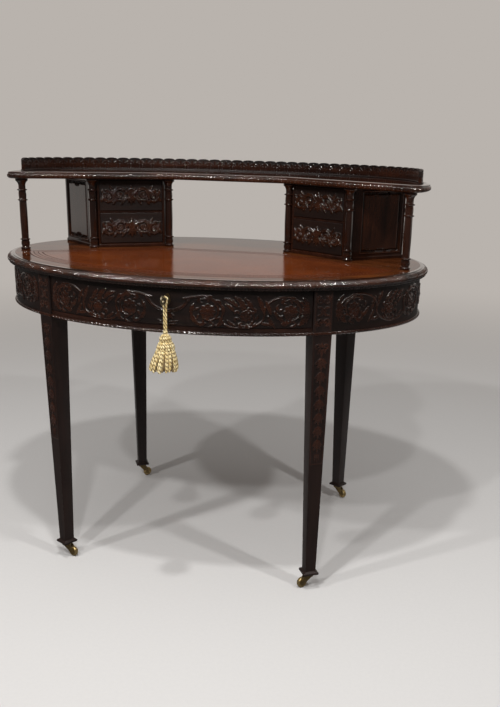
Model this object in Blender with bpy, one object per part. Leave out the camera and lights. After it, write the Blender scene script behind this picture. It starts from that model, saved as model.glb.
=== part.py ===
"""Oval writing desk in carved mahogany, standing on four castors.

An oval top with a leather writing surface rests on a curved frieze between four tapered legs. A frieze
drawer with a lock, a key and a tassel opens at the front. On the back half of the top, six turned
columns and two cupboards with two small drawers each carry a crescent shelf with a carved gallery.
Metres, +Z up, the sitter on the -Y side. The origin is on the floor, under the middle of the desk's box.
"""

from math import asin, atan2, cos, pi, radians, sin, sqrt

import bmesh
import bpy
import numpy as np
from mathutils import Matrix, Vector

# Clearances
GAP = 0.0003
DRAWER_PLAY = 0.0008
PIN_PLAY = 0.0003
CUT_OVERRUN = 0.004

# Oval top
TOP_WIDTH = 1.080
TOP_DEPTH = 0.780
TOP_HEIGHT = 0.760
TOP_THICKNESS = 0.022
TOP_MOULDING = 0.0195
TOP_STEPS = 80
MOULDING_SHARES = (
    (0.50, 0.0), (0.14, 0.10), (0.0, 0.38), (0.05, 0.66), (0.32, 0.88), (0.60, 0.93), (1.0, 1.0),
)

# Leather, let into the top inside a wooden band
LEATHER_BAND = 0.034
LEATHER_THICKNESS = 0.0020

# Frieze under the top
TOP_OVERHANG = 0.0175
FRIEZE_HEIGHT = 0.0995
FRIEZE_THICKNESS = 0.020
BEAD_HEIGHT = 0.0070
BEAD_PROUD = 0.0040
BEAD_SHARES = ((0.0, 1.0), (0.62, 0.86), (1.0, 0.5), (0.62, 0.14), (0.0, 0.0))
FRIEZE_STEPS = 18
RAIL_HEIGHT = 0.0165
RAIL_DEPTH = 0.040

# Legs
LEG_STATION = radians(51.2)
LEG_TOP = 0.045
LEG_FOOT = 0.026
LEG_PROUD = 0.0030
PLINTH_WIDTH = 0.038
PLINTH_HEIGHT = 0.0050
PLINTH_COVE = 0.0045

# Castors
WHEEL_RADIUS = 0.0135
WHEEL_TOP_PLAY = 0.0055
WHEEL_WIDTH = 0.0125
WHEEL_ROUNDING = 0.0016
WHEEL_SIDES = 20
CASTOR_TRAIL = 0.0160
CASTOR_PLATE_RADIUS = 0.0130
CASTOR_PLATE_THICKNESS = 0.0028
CASTOR_STEM_RADIUS = 0.0040
CROWN_RADIUS = 0.0100
CROWN_THICKNESS = 0.0046
HORN_THICKNESS = 0.0022
HORN_END_RADIUS = 0.0052
AXLE_RADIUS = 0.0021
AXLE_HEAD_RADIUS = 0.0032
AXLE_HEAD_THICKNESS = 0.0009
WHEEL_SIDE_PLAY = 0.0006
CASTOR_HEADINGS = {
    "front_left": radians(8),
    "front_right": radians(196),
    "back_right": radians(-12),
    "back_left": radians(22),
}

# Frieze drawer
FRONT_THICKNESS = 0.020
FRONT_TOP_PLAY = 0.0015
FRONT_BOTTOM_PLAY = 0.0010
FRONT_END_PLAY = 0.0012
BOX_LENGTH = 0.400
BOX_SIDE_DROP = 0.0187
BOX_SIDE_THICKNESS = 0.010
BOX_BACK_THICKNESS = 0.009
BOX_BOTTOM_THICKNESS = 0.006
BOX_BOTTOM_LIFT = 0.003
RUNNER_LEG_MARGIN = 0.0034
RUNNER_WIDTH = 0.013
RUNNER_LEDGE = 0.012
RUNNER_GUIDE_HEIGHT = 0.014

# Lock, key and keyhole plate
LOCK_WIDTH = 0.056
LOCK_HEIGHT = 0.038
LOCK_DEPTH = 0.0100
KEY_DROP = 0.0205
BIT_POCKET_DEPTH = 0.0070
KEY_PLAY = 0.0008
KEY_END_PLAY = 0.0010
BOLT_WIDTH = 0.018
BOLT_THICKNESS = 0.0050
BOLT_HEIGHT = 0.0092
BOLT_DROP = 0.0005
BOLT_TRAVEL = 0.0050
STRIKE_CLEARANCE = 0.0012
PLATE_WIDTH = 0.014
PLATE_HEIGHT = 0.026
PLATE_THICKNESS = 0.0012
PLATE_SIDES = 20
SHANK_RADIUS = 0.0030
SHANK_TIP_SHARE = 0.7
KEY_BIT_REACH = 0.0084
KEY_BIT_LENGTH = 0.0045
KEY_BIT_THICKNESS = 0.0024
COLLAR_RADIUS = 0.0046
COLLAR_THICKNESS = 0.0022
BOW_RADIUS = 0.0105
BOW_HOLE_RADIUS = 0.0068
BOW_THICKNESS = 0.0030

# Tassel on the key
CORD_RADIUS = 0.0021
CORD_STANDOFF = 0.0165
CORD_STEPS = 5
KNOT_TOP_RISE = 0.0095
KNOT_RADIUS = 0.0052
KNOT_HEIGHT = 0.0095
KNOT_SHARES = (0.85, 1.0, 1.0, 0.7)
TASSEL_HEIGHT = 0.0835
TASSEL_RADIUS = 0.0345
TASSEL_SHARES = (
    (0.10, 0.0), (0.22, 0.015), (0.32, 0.07), (0.335, 0.16), (0.29, 0.21), (0.42, 0.25), (0.54, 0.36),
    (0.58, 0.405), (0.50, 0.43), (0.66, 0.50), (0.80, 0.66), (0.93, 0.86), (1.0, 1.0),
)

# Superstructure: columns on two lines that open towards the sitter
OUTER_COLUMN_INSET = 0.0524
OUTER_COLUMN_FORWARD = 0.0730
WING_ANGLE = radians(32.1)
OUTER_SPACING = 0.1756
PEDESTAL_FRONT = 0.2045
COLUMN_HEIGHT = 0.178
COLUMN_SHAFT_RADIUS = 0.0095
COLUMN_RING_RADIUS = 0.0125
COLUMN_CAP_RADIUS = 0.0155
COLUMN_RING_HEIGHT = 0.0044
COLUMN_BASE_HEIGHT = 0.0056
COLUMN_FOOT_SHARE = 0.92
LOW_RING_RISE = 0.0255
MIDDLE_RING_DROP = 0.0530
HIGH_RING_DROP = 0.0280
CAP_HEIGHT = 0.0140
CAP_SHARES = (0.55, 0.25)
COLUMN_SIDES = 14

# Pedestals with two small drawers each
PEDESTAL_SIDE_ANGLE = radians(106.3)
PEDESTAL_SETBACK = 0.034
BASE_MOULDING_HEIGHT = 0.0085
BASE_MOULDING_PROUD = 0.0022
SMALL_OPENING_STILE = 0.0025
SMALL_OPENING_LOW = 0.0105
SMALL_OPENING_TOP = 0.0030
SMALL_DIVIDER = 0.0045
PEDESTAL_BACK_WALL = 0.0338
SMALL_FRONT_THICKNESS = 0.0110
SMALL_FRONT_PROUD = 0.0010
SMALL_TRAY_BACK_PLAY = 0.0077
SMALL_TRAY_DROP = 0.006
TRAY_WALL = 0.0060
TRAY_BOTTOM = 0.0050
PANEL_START = 0.0360
PANEL_END = 0.0070
PANEL_LOW = 0.0130
PANEL_TOP = 0.0065
PANEL_THICKNESS = 0.0080
PANEL_FRAME = 0.0030
PANEL_SINK = 0.0045
PANEL_BEVEL = 0.0110

# Shelf and gallery
SHELF_INSET = 0.011
SHELF_THICKNESS = 0.0170
SHELF_FRONT_LIP = 0.024
SHELF_TIP_RADIUS = 0.022
SHELF_BEND_RADIUS = 0.060
SHELF_STEPS = 26
SHELF_EDGE = 0.0055
SHELF_EDGE_SHARES = ((1.0, 0.0), (0.25, 0.14), (0.0, 0.40), (0.22, 0.70), (1.0, 0.86), (1.15, 1.0))
GALLERY_INSET = 0.0220
GALLERY_THICKNESS = 0.0080
GALLERY_HEIGHT = 0.0315
GALLERY_FOOT_HEIGHT = 0.0045
GALLERY_FOOT_PROUD = 0.0025
GALLERY_END = radians(-4.5)
GALLERY_ARCHES = 43
GALLERY_NOTCH = 0.0036
GALLERY_ARCH_SHARES = ((0.0, 0.0), (0.16, 0.74), (0.5, 1.0), (0.84, 0.74))

# Colours
MAHOGANY = (0.070, 0.026, 0.016)
RED_MAHOGANY = (0.120, 0.040, 0.020)
DRAWER_LINING = (0.300, 0.170, 0.085)
LEATHER = (0.190, 0.062, 0.026)
BRASS = (0.420, 0.300, 0.130)
STRAW_SILK = (0.640, 0.500, 0.220)

# Heights and reaches that follow from the sizes above
TOP_UNDERSIDE = TOP_HEIGHT - TOP_THICKNESS
FRIEZE_TOP = TOP_UNDERSIDE - GAP
FRIEZE_BOTTOM = TOP_UNDERSIDE - FRIEZE_HEIGHT
CROWN_BOTTOM = 2 * WHEEL_RADIUS + WHEEL_TOP_PLAY
CROWN_TOP = CROWN_BOTTOM + CROWN_THICKNESS
PLINTH_BOTTOM = CROWN_TOP + CASTOR_PLATE_THICKNESS + 2 * GAP
RAIL_TOP = FRIEZE_BOTTOM + RAIL_HEIGHT
FRONT_TOP = TOP_UNDERSIDE - FRONT_TOP_PLAY
FRONT_BOTTOM = RAIL_TOP + FRONT_BOTTOM_PLAY
KEY_HEIGHT = FRONT_TOP - KEY_DROP
SHELF_UNDERSIDE = TOP_HEIGHT + COLUMN_HEIGHT
SHELF_TOP = SHELF_UNDERSIDE + SHELF_THICKNESS
FACE_HALF_WIDTH = TOP_WIDTH / 2 - TOP_OVERHANG
FACE_HALF_DEPTH = TOP_DEPTH / 2 - TOP_OVERHANG
FACE_Y = -FACE_HALF_DEPTH
FRONT_BACK_Y = FACE_Y + FRONT_THICKNESS
CORD_Y = FACE_Y - CORD_STANDOFF
NECK_HALF_LENGTH = CORD_RADIUS + PIN_PLAY + GAP
KEY_END_Y = CORD_Y - NECK_HALF_LENGTH - COLLAR_THICKNESS - 2 * BOW_RADIUS
DESK_SHIFT = (-KEY_END_Y - TOP_DEPTH / 2) / 2
SHANK_END_Y = FRONT_BACK_Y - LOCK_DEPTH + BIT_POCKET_DEPTH - KEY_END_PLAY
BIT_POCKET_RADIUS = KEY_BIT_REACH + KEY_PLAY
SHELF_HALF_WIDTH = TOP_WIDTH / 2 - SHELF_INSET
SHELF_HALF_DEPTH = TOP_DEPTH / 2 - SHELF_INSET
MIDDLE_COLUMN = OUTER_SPACING
INNER_COLUMN = OUTER_SPACING + PEDESTAL_FRONT
SMALL_OPENING_START = MIDDLE_COLUMN + COLUMN_CAP_RADIUS + SMALL_OPENING_STILE
SMALL_OPENING_END = INNER_COLUMN - COLUMN_CAP_RADIUS - SMALL_OPENING_STILE
SMALL_OPENING_HEIGHT = (COLUMN_HEIGHT - SMALL_OPENING_LOW - SMALL_OPENING_TOP - SMALL_DIVIDER) / 2
NOTCH_STEPS = 5
NOTCH_RADIUS = (COLUMN_RING_RADIUS + GAP) / cos(PEDESTAL_SIDE_ANGLE / 2 / NOTCH_STEPS)
CAP_NOTCH_RADIUS = (COLUMN_CAP_RADIUS + GAP) / cos(PEDESTAL_SIDE_ANGLE / 2 / NOTCH_STEPS)
LEG_ANGLES = {
    "front_right": -LEG_STATION,
    "back_right": LEG_STATION,
    "back_left": pi - LEG_STATION,
    "front_left": LEG_STATION - pi,
}
SIDES = {"left": -1, "right": 1}


def clear_scene():
    """Removes whatever the scene starts with."""
    for old in list(bpy.data.objects):
        bpy.data.objects.remove(old, do_unlink=True)


def finish(name, colour, roughness, metallic=0.0):
    """A material of one colour with its own gloss."""
    made = bpy.data.materials.new(name)
    made.use_nodes = True
    shader = made.node_tree.nodes["Principled BSDF"]
    shader.inputs["Base Color"].default_value = (*colour, 1.0)
    shader.inputs["Roughness"].default_value = roughness
    shader.inputs["Metallic"].default_value = metallic
    return made


def solid(name, points, faces, surface=None, smooth=False):
    """One object from points and faces, with its faces turned outwards."""
    mesh = bpy.data.meshes.new(name)
    mesh.from_pydata([tuple(point) for point in points], [], faces)
    work = bmesh.new()
    work.from_mesh(mesh)
    bmesh.ops.recalc_face_normals(work, faces=work.faces)
    work.to_mesh(mesh)
    work.free()
    if smooth:
        mesh.shade_smooth()
        mesh.set_sharp_from_angle(angle=radians(40))
    made = bpy.data.objects.new(name, mesh)
    if surface:
        mesh.materials.append(surface)
    bpy.context.scene.collection.objects.link(made)
    return made


def lofted(rings, closed=False):
    """Points and faces of a skin over rings of equally many points: capped, or closed on itself."""
    count = len(rings[0])
    points = [point for ring in rings for point in ring]
    faces = []
    for row in range(len(rings) if closed else len(rings) - 1):
        low = row * count
        high = (row + 1) % len(rings) * count
        for step in range(count):
            after = (step + 1) % count
            faces.append((low + step, low + after, high + after, high + step))
    if not closed:
        faces.append(tuple(range(count)))
        faces.append(tuple(len(points) - count + step for step in range(count)))
    return points, faces


def prism(outline, low, high):
    """Points and faces of a plan outline carried from one height to another."""
    return lofted([[(x, y, height) for x, y in outline] for height in (low, high)])


def box_shape(low, high):
    """Points and faces of an upright block between two corners."""
    outline = ((low[0], low[1]), (high[0], low[1]), (high[0], high[1]), (low[0], high[1]))
    return prism(outline, low[2], high[2])


def turned(profile, sides, turn=0.0):
    """Points and faces of a turned shape: a profile of (radius, height) from the bottom up."""
    rings = []
    for radius, height in profile:
        ring = []
        for step in range(sides):
            angle = turn + 2 * pi * step / sides
            ring.append((radius * cos(angle), radius * sin(angle), height))
        rings.append(ring)
    return lofted(rings)


def moved(shape, matrix):
    """A shape's points under a matrix, with the same faces."""
    points, faces = shape
    return [matrix @ Vector(point) for point in points], faces


def cutter(name, shape, matrix=None):
    """A hidden shape for a Boolean."""
    points, faces = moved(shape, matrix) if matrix else shape
    made = solid(name, points, faces)
    made.hide_render = True
    made.display_type = "WIRE"
    return made


def combine(target, other, operation="DIFFERENCE"):
    """A live Boolean on target."""
    step = target.modifiers.new(other.name, "BOOLEAN")
    step.operation = operation
    step.solver = "EXACT"
    step.object = other


def axis_empty(name, place):
    """An empty on a joint's axis, which carries the pieces of a moving body."""
    made = bpy.data.objects.new(name, None)
    made.location = place
    bpy.context.scene.collection.objects.link(made)
    return made


def carry(empty, *pieces):
    """Puts pieces under an empty without moving them."""
    for piece in pieces:
        piece.parent = empty
        piece.matrix_parent_inverse = Matrix.Translation(empty.location).inverted()


def oval(half_width, half_depth, angle):
    """A plan point of an oval."""
    return Vector((half_width * cos(angle), half_depth * sin(angle)))


def oval_reach(start, way, half_width, half_depth):
    """How far a ray from inside an oval runs before it meets it."""
    sx, sy = start.x / half_width, start.y / half_depth
    wx, wy = way.x / half_width, way.y / half_depth
    a, b, c = wx * wx + wy * wy, sx * wx + sy * wy, sx * sx + sy * sy - 1
    return (sqrt(b * b - a * c) - b) / a


def oval_angle(point, half_width, half_depth):
    """The angle at which oval() gives a point of the oval."""
    return atan2(point.y / half_depth, point.x / half_width)


def parted_angles(half_width, half_depth, start, end, shares):
    """The angles that part the oval's run from start to end at these shares of its length."""
    angles = np.linspace(start, end, 2001)
    steps = np.hypot(half_width * np.diff(np.cos(angles)), half_depth * np.diff(np.sin(angles)))
    run = np.concatenate([[0.0], np.cumsum(steps)])
    return np.interp(np.array(shares) * run[-1], run, angles).tolist()


def inner_curve_y(x, inset):
    """The depth, from the middle, of the frieze's curve set in by inset, at a distance x to one side."""
    return (FACE_HALF_DEPTH - inset) * sqrt(1 - (x / (FACE_HALF_WIDTH - inset)) ** 2)


def wing_point(side, along, back):
    """A plan point on a wing: along its line of columns from the outer one, and back from that line."""
    x = TOP_WIDTH / 2 - OUTER_COLUMN_INSET - along * cos(WING_ANGLE) + back * sin(WING_ANGLE)
    y = along * sin(WING_ANGLE) + back * cos(WING_ANGLE) - OUTER_COLUMN_FORWARD
    return Vector((side * x, y))


def fillet(before, corner, after, radius, steps):
    """Points of a round corner between two straight runs."""
    to_before, to_after = (before - corner).normalized(), (after - corner).normalized()
    half = to_before.angle(to_after) / 2
    centre = corner + (to_before + to_after).normalized() * radius / sin(half)
    start = corner + to_before * radius * cos(half) / sin(half) - centre
    end = corner + to_after * radius * cos(half) / sin(half) - centre
    sweep = start.angle_signed(end)
    points = []
    for step in range(steps + 1):
        angle = -sweep * step / steps
        points.append(centre + Matrix.Rotation(angle, 2) @ start)
    return points


def mirrored_outline(right_half):
    """A closed outline from its right half, which starts and ends on the middle line or beside it."""
    left_half = [Vector((-point.x, point.y)) for point in reversed(right_half)]
    return right_half + left_half


def wing_line(offset, half_width, half_depth):
    """A wing's front line, offset forwards: where it meets an oval, where it bends, and its middle run."""
    start = wing_point(1, 0.0, -offset)
    outwards = Vector((cos(WING_ANGLE), -sin(WING_ANGLE)))
    tip = start + outwards * oval_reach(start, outwards, half_width, half_depth)
    middle_y = wing_point(1, INNER_COLUMN, 0.0).y - offset
    bend = start - outwards * (middle_y - start.y) / sin(WING_ANGLE)
    return tip, bend, Vector((0.0, middle_y))


def leg_frame(name):
    """A leg's matrix: its origin on the floor, its own -Y facing outwards, its own X along the oval."""
    angle = LEG_ANGLES[name]
    face = oval(FACE_HALF_WIDTH, FACE_HALF_DEPTH, angle)
    outwards = Vector((cos(angle) / FACE_HALF_WIDTH, sin(angle) / FACE_HALF_DEPTH)).normalized()
    centre = face - outwards * (LEG_TOP / 2 - LEG_PROUD)
    return Matrix((
        (-outwards.y, -outwards.x, 0.0, centre.x),
        (outwards.x, -outwards.y, 0.0, centre.y),
        (0.0, 0.0, 1.0, 0.0),
        (0.0, 0.0, 0.0, 1.0),
    ))


def leg_side_angle(name, way, inset, play):
    """The angle at which the frieze's curve, set in by inset, meets a leg's side plane, moved by play."""
    frame = leg_frame(name)
    along = Vector((frame[0][0], frame[1][0]))
    place = Vector((frame[0][3], frame[1][3])) + along * way * (LEG_TOP / 2 + play)
    near, far = LEG_ANGLES[name], LEG_ANGLES[name] + way * radians(25)
    for _ in range(50):
        middle = (near + far) / 2
        point = oval(FACE_HALF_WIDTH - inset, FACE_HALF_DEPTH - inset, middle)
        if (point - place).dot(along) * way < 0:
            near = middle
        else:
            far = middle
    return middle


def frieze_band(name, section, first_leg, last_leg, play, surface):
    """A section of (inset, height) points carried along the frieze from one leg to the next."""
    runs = []
    for inset, height in section:
        start = leg_side_angle(first_leg, 1, inset, play)
        end = leg_side_angle(last_leg, -1, inset, play)
        if end < start:
            end += 2 * pi
        runs.append((inset, height, start, end))
    rings = []
    for step in range(FRIEZE_STEPS + 1):
        ring = []
        for inset, height, start, end in runs:
            angle = start + (end - start) * step / FRIEZE_STEPS
            place = oval(FACE_HALF_WIDTH - inset, FACE_HALF_DEPTH - inset, angle)
            ring.append((place.x, place.y, height))
        rings.append(ring)
    return solid(name, *lofted(rings), surface)


def bead_section():
    """The half-round bead along the frieze's lower edge, as (inset, height) points from its top down."""
    return [(-BEAD_PROUD * out, FRIEZE_BOTTOM + BEAD_HEIGHT * up) for out, up in BEAD_SHARES]


def make_top():
    """The oval board, with its moulded edge, the leather's recess and the lock's mortise under it."""
    rings = []
    for inset_share, height_share in MOULDING_SHARES:
        half_width = TOP_WIDTH / 2 - TOP_MOULDING * inset_share
        half_depth = TOP_DEPTH / 2 - TOP_MOULDING * inset_share
        height = TOP_UNDERSIDE + TOP_THICKNESS * height_share
        angles = [2 * pi * step / TOP_STEPS for step in range(TOP_STEPS)]
        rings.append([(*oval(half_width, half_depth, angle), height) for angle in angles])
    board = solid("top_board", *lofted(rings), finish("top_board", RED_MAHOGANY, 0.16), smooth=True)
    recess_floor = TOP_HEIGHT - LEATHER_THICKNESS - GAP
    recess = prism(leather_outline(0.0), recess_floor, TOP_HEIGHT + CUT_OVERRUN)
    combine(board, cutter("leather_recess", recess))
    half_width = BOLT_WIDTH / 2 + STRIKE_CLEARANCE
    half_depth = BOLT_THICKNESS / 2 + STRIKE_CLEARANCE
    low = (-half_width, bolt_y() - half_depth, TOP_UNDERSIDE - CUT_OVERRUN)
    high = (half_width, bolt_y() + half_depth, TOP_UNDERSIDE + BOLT_TRAVEL + STRIKE_CLEARANCE)
    combine(board, cutter("strike_mortise", box_shape(low, high)))


def leather_outline(inset):
    """The writing surface: the oval at the front, and a line in front of the columns at the back."""
    band = LEATHER_BAND + inset
    half_width = TOP_WIDTH / 2 - TOP_MOULDING - band
    half_depth = TOP_DEPTH / 2 - TOP_MOULDING - band
    tip, bend, middle = wing_line(band, half_width, half_depth)
    start = oval_angle(tip, half_width, half_depth)
    steps = TOP_STEPS // 4
    arc = [oval(half_width, half_depth, start + (-pi / 2 - start) * step / steps) for step in range(steps)]
    back = fillet(middle, bend, tip, SHELF_BEND_RADIUS, 3)
    front = [Vector((0.0, -half_depth))]
    right_half = back + arc
    left_half = [Vector((-point.x, point.y)) for point in reversed(right_half)]
    return right_half + front + left_half


def make_leather():
    """The leather, flush with the top, with a gap all round to its recess."""
    low = TOP_HEIGHT - LEATHER_THICKNESS
    surface = finish("leather_inset", LEATHER, 0.30)
    solid("leather_inset", *prism(leather_outline(GAP), low, TOP_HEIGHT), surface)


def make_friezes():
    """The fixed parts of the frieze, and the rail under the drawer."""
    inside = FRIEZE_THICKNESS
    section = [(inside, FRIEZE_TOP), (0.0, FRIEZE_TOP), *bead_section(), (inside, FRIEZE_BOTTOM)]
    for name, first, last in (
        ("right_frieze", "front_right", "back_right"),
        ("back_frieze", "back_right", "back_left"),
        ("left_frieze", "back_left", "front_left"),
    ):
        frieze_band(name, section, first, last, GAP, finish(name, MAHOGANY, 0.30))
    rail = [(RAIL_DEPTH, RAIL_TOP), (0.0, RAIL_TOP), *bead_section(), (RAIL_DEPTH, FRIEZE_BOTTOM)]
    frieze_band("front_rail", rail, "front_left", "front_right", GAP, finish("front_rail", MAHOGANY, 0.30))


def box_half_width():
    """Half the width of the drawer's box, which runs between its runners and these between the legs."""
    frame = leg_frame("front_right")
    leg_inside = frame[0][3] - LEG_TOP / 2 * (abs(frame[0][0]) + abs(frame[0][1]))
    return leg_inside - RUNNER_LEG_MARGIN - RUNNER_WIDTH - DRAWER_PLAY


def make_runners():
    """An L-shaped runner on each side of the drawer, from the front rail to the back frieze."""
    inner = box_half_width() + DRAWER_PLAY
    outer = inner + RUNNER_WIDTH
    ledge = box_half_width() - RUNNER_LEDGE
    section = (
        (outer, FRIEZE_BOTTOM + BEAD_HEIGHT),
        (outer, RAIL_TOP + RUNNER_GUIDE_HEIGHT),
        (inner, RAIL_TOP + RUNNER_GUIDE_HEIGHT),
        (inner, RAIL_TOP),
        (ledge, RAIL_TOP),
        (ledge, FRIEZE_BOTTOM + BEAD_HEIGHT),
    )
    for name, side in SIDES.items():
        front = [(side * x, -inner_curve_y(x, RAIL_DEPTH) + GAP, z) for x, z in section]
        back = [(side * x, inner_curve_y(x, FRIEZE_THICKNESS) - GAP, z) for x, z in section]
        label = f"drawer_runner_{name}"
        solid(label, *lofted([front, back]), finish(label, DRAWER_LINING, 0.55))


def make_legs():
    """Four square legs: a block in the frieze with its length of bead, a long taper and a small plinth."""
    plinth_top = PLINTH_BOTTOM + PLINTH_HEIGHT
    levels = (
        (LEG_TOP, 0.0, FRIEZE_TOP),
        (LEG_TOP, 0.0, FRIEZE_BOTTOM + BEAD_HEIGHT),
        (LEG_TOP, BEAD_PROUD - LEG_PROUD, FRIEZE_BOTTOM + BEAD_HEIGHT / 2),
        (LEG_TOP, 0.0, FRIEZE_BOTTOM),
        (LEG_FOOT, 0.0, plinth_top + PLINTH_COVE),
        (PLINTH_WIDTH, 0.0, plinth_top),
        (PLINTH_WIDTH, 0.0, PLINTH_BOTTOM),
    )
    for name in LEG_ANGLES:
        rings = []
        for width, proud, height in levels:
            half = width / 2
            front = -half - proud
            corners = ((-half, front), (half, front), (half, half), (-half, half))
            rings.append([(x, y, height) for x, y in corners])
        label = f"leg_{name}"
        leg = solid(label, *lofted(rings), finish(label, MAHOGANY, 0.28))
        leg.matrix_world = leg_frame(name)


def make_castors():
    """Under each plinth a plate with its stem, a horn that swivels on it, and a wheel on its axle."""
    wheel_height = WHEEL_RADIUS * cos(pi / WHEEL_SIDES)
    half_fork = WHEEL_WIDTH / 2 + WHEEL_SIDE_PLAY
    half_horn = half_fork + HORN_THICKNESS
    for name in LEG_ANGLES:
        frame = leg_frame(name)
        place = frame.to_translation()
        heading = Matrix.Translation(place) @ Matrix.Rotation(CASTOR_HEADINGS[name], 4, "Z")
        plate_profile = (
            (CASTOR_STEM_RADIUS, CROWN_BOTTOM),
            (CASTOR_STEM_RADIUS, CROWN_TOP + GAP),
            (CASTOR_PLATE_RADIUS, CROWN_TOP + GAP),
            (CASTOR_PLATE_RADIUS, PLINTH_BOTTOM - GAP),
        )
        label = f"castor_plate_{name}"
        plate = solid(label, *turned(plate_profile, 16), finish(label, BRASS, 0.36, 1.0), smooth=True)
        plate.matrix_world = frame

        outline = [(-CROWN_RADIUS, CROWN_TOP), (-CROWN_RADIUS, CROWN_BOTTOM + CROWN_THICKNESS / 3)]
        outline.append((-CROWN_RADIUS / 2, CROWN_BOTTOM - HORN_END_RADIUS / 3))
        for step in range(6):
            angle = radians(215 + 30 * step)
            x = CASTOR_TRAIL + HORN_END_RADIUS * cos(angle)
            outline.append((x, wheel_height + HORN_END_RADIUS * sin(angle)))
        outline.append((CROWN_RADIUS, CROWN_BOTTOM))
        outline.append((CROWN_RADIUS, CROWN_TOP))
        rings = [[(x, y, z) for x, z in outline] for y in (-half_horn, half_horn)]
        horn = solid(f"castor_horn_{name}", *lofted(rings), finish(f"castor_horn_{name}", BRASS, 0.38, 1.0))
        horn.matrix_world = heading
        low = (-2 * CROWN_RADIUS, -half_fork, -CUT_OVERRUN)
        slot = box_shape(low, (CASTOR_TRAIL + 2 * CROWN_RADIUS, half_fork, CROWN_BOTTOM))
        stem_hole = turned(((CASTOR_STEM_RADIUS + PIN_PLAY, CROWN_BOTTOM - CUT_OVERRUN),
                            (CASTOR_STEM_RADIUS + PIN_PLAY, CROWN_TOP + CUT_OVERRUN)), 16)
        on_axle = Matrix.Translation((CASTOR_TRAIL, 0.0, wheel_height)) @ Matrix.Rotation(pi / 2, 4, "X")
        axle_hole = turned(((AXLE_RADIUS + PIN_PLAY, -half_horn - CUT_OVERRUN),
                            (AXLE_RADIUS + PIN_PLAY, half_horn + CUT_OVERRUN)), 12)
        combine(horn, cutter(f"horn_slot_{name}", slot, heading))
        combine(horn, cutter(f"horn_stem_hole_{name}", stem_hole, heading))
        combine(horn, cutter(f"horn_axle_hole_{name}", axle_hole, heading @ on_axle))

        half_wheel = WHEEL_WIDTH / 2
        bore = AXLE_RADIUS + PIN_PLAY
        section = (
            (bore, -half_wheel), (WHEEL_RADIUS - WHEEL_ROUNDING, -half_wheel),
            (WHEEL_RADIUS, -half_wheel + WHEEL_ROUNDING), (WHEEL_RADIUS, half_wheel - WHEEL_ROUNDING),
            (WHEEL_RADIUS - WHEEL_ROUNDING, half_wheel), (bore, half_wheel),
        )
        rings = []
        for step in range(WHEEL_SIDES):
            angle = 2 * pi * (step + 0.5) / WHEEL_SIDES - pi / 2
            rings.append([(radius * cos(angle), radius * sin(angle), across) for radius, across in section])
        label = f"castor_wheel_{name}"
        wheel = solid(label, *lofted(rings, closed=True), finish(label, BRASS, 0.34, 1.0), smooth=True)
        wheel.matrix_world = heading @ on_axle

        head = half_horn + GAP
        axle_profile = (
            (AXLE_HEAD_RADIUS, -head - AXLE_HEAD_THICKNESS), (AXLE_HEAD_RADIUS, -head),
            (AXLE_RADIUS, -head), (AXLE_RADIUS, head),
            (AXLE_HEAD_RADIUS, head), (AXLE_HEAD_RADIUS, head + AXLE_HEAD_THICKNESS),
        )
        label = f"castor_axle_{name}"
        axle = solid(label, *turned(axle_profile, 12), finish(label, BRASS, 0.40, 1.0), smooth=True)
        axle.matrix_world = heading @ on_axle

        swivel = axis_empty(f"swivel_axis_{name}", place)
        roll = axis_empty(f"roll_axis_{name}", heading @ Vector((CASTOR_TRAIL, 0.0, wheel_height)))
        carry(swivel, horn, axle, roll)
        carry(roll, wheel)
        roll.matrix_parent_inverse = Matrix.Translation(place).inverted()
        wheel.matrix_parent_inverse = Matrix.Translation(roll.location).inverted()


def bolt_y():
    """The depth at which the lock's bolt stands."""
    return FRONT_BACK_Y - LOCK_DEPTH / 2


def keyhole_cut(target, label, front, back):
    """Cuts a round hole with a slot below it through target, from one depth to another."""
    lying = Matrix.Translation((0.0, 0.0, KEY_HEIGHT)) @ Matrix.Rotation(pi / 2, 4, "X")
    radius = SHANK_RADIUS + KEY_PLAY
    hole = turned(((radius, -back), (radius, -front)), 16)
    combine(target, cutter(f"{label}_hole", hole, lying))
    slot_bottom = KEY_HEIGHT - BIT_POCKET_RADIUS
    half_slot = KEY_BIT_THICKNESS / 2 + KEY_PLAY
    slot = box_shape((-half_slot, front, slot_bottom), (half_slot, back, KEY_HEIGHT))
    combine(target, cutter(f"{label}_slot", slot))


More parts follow.
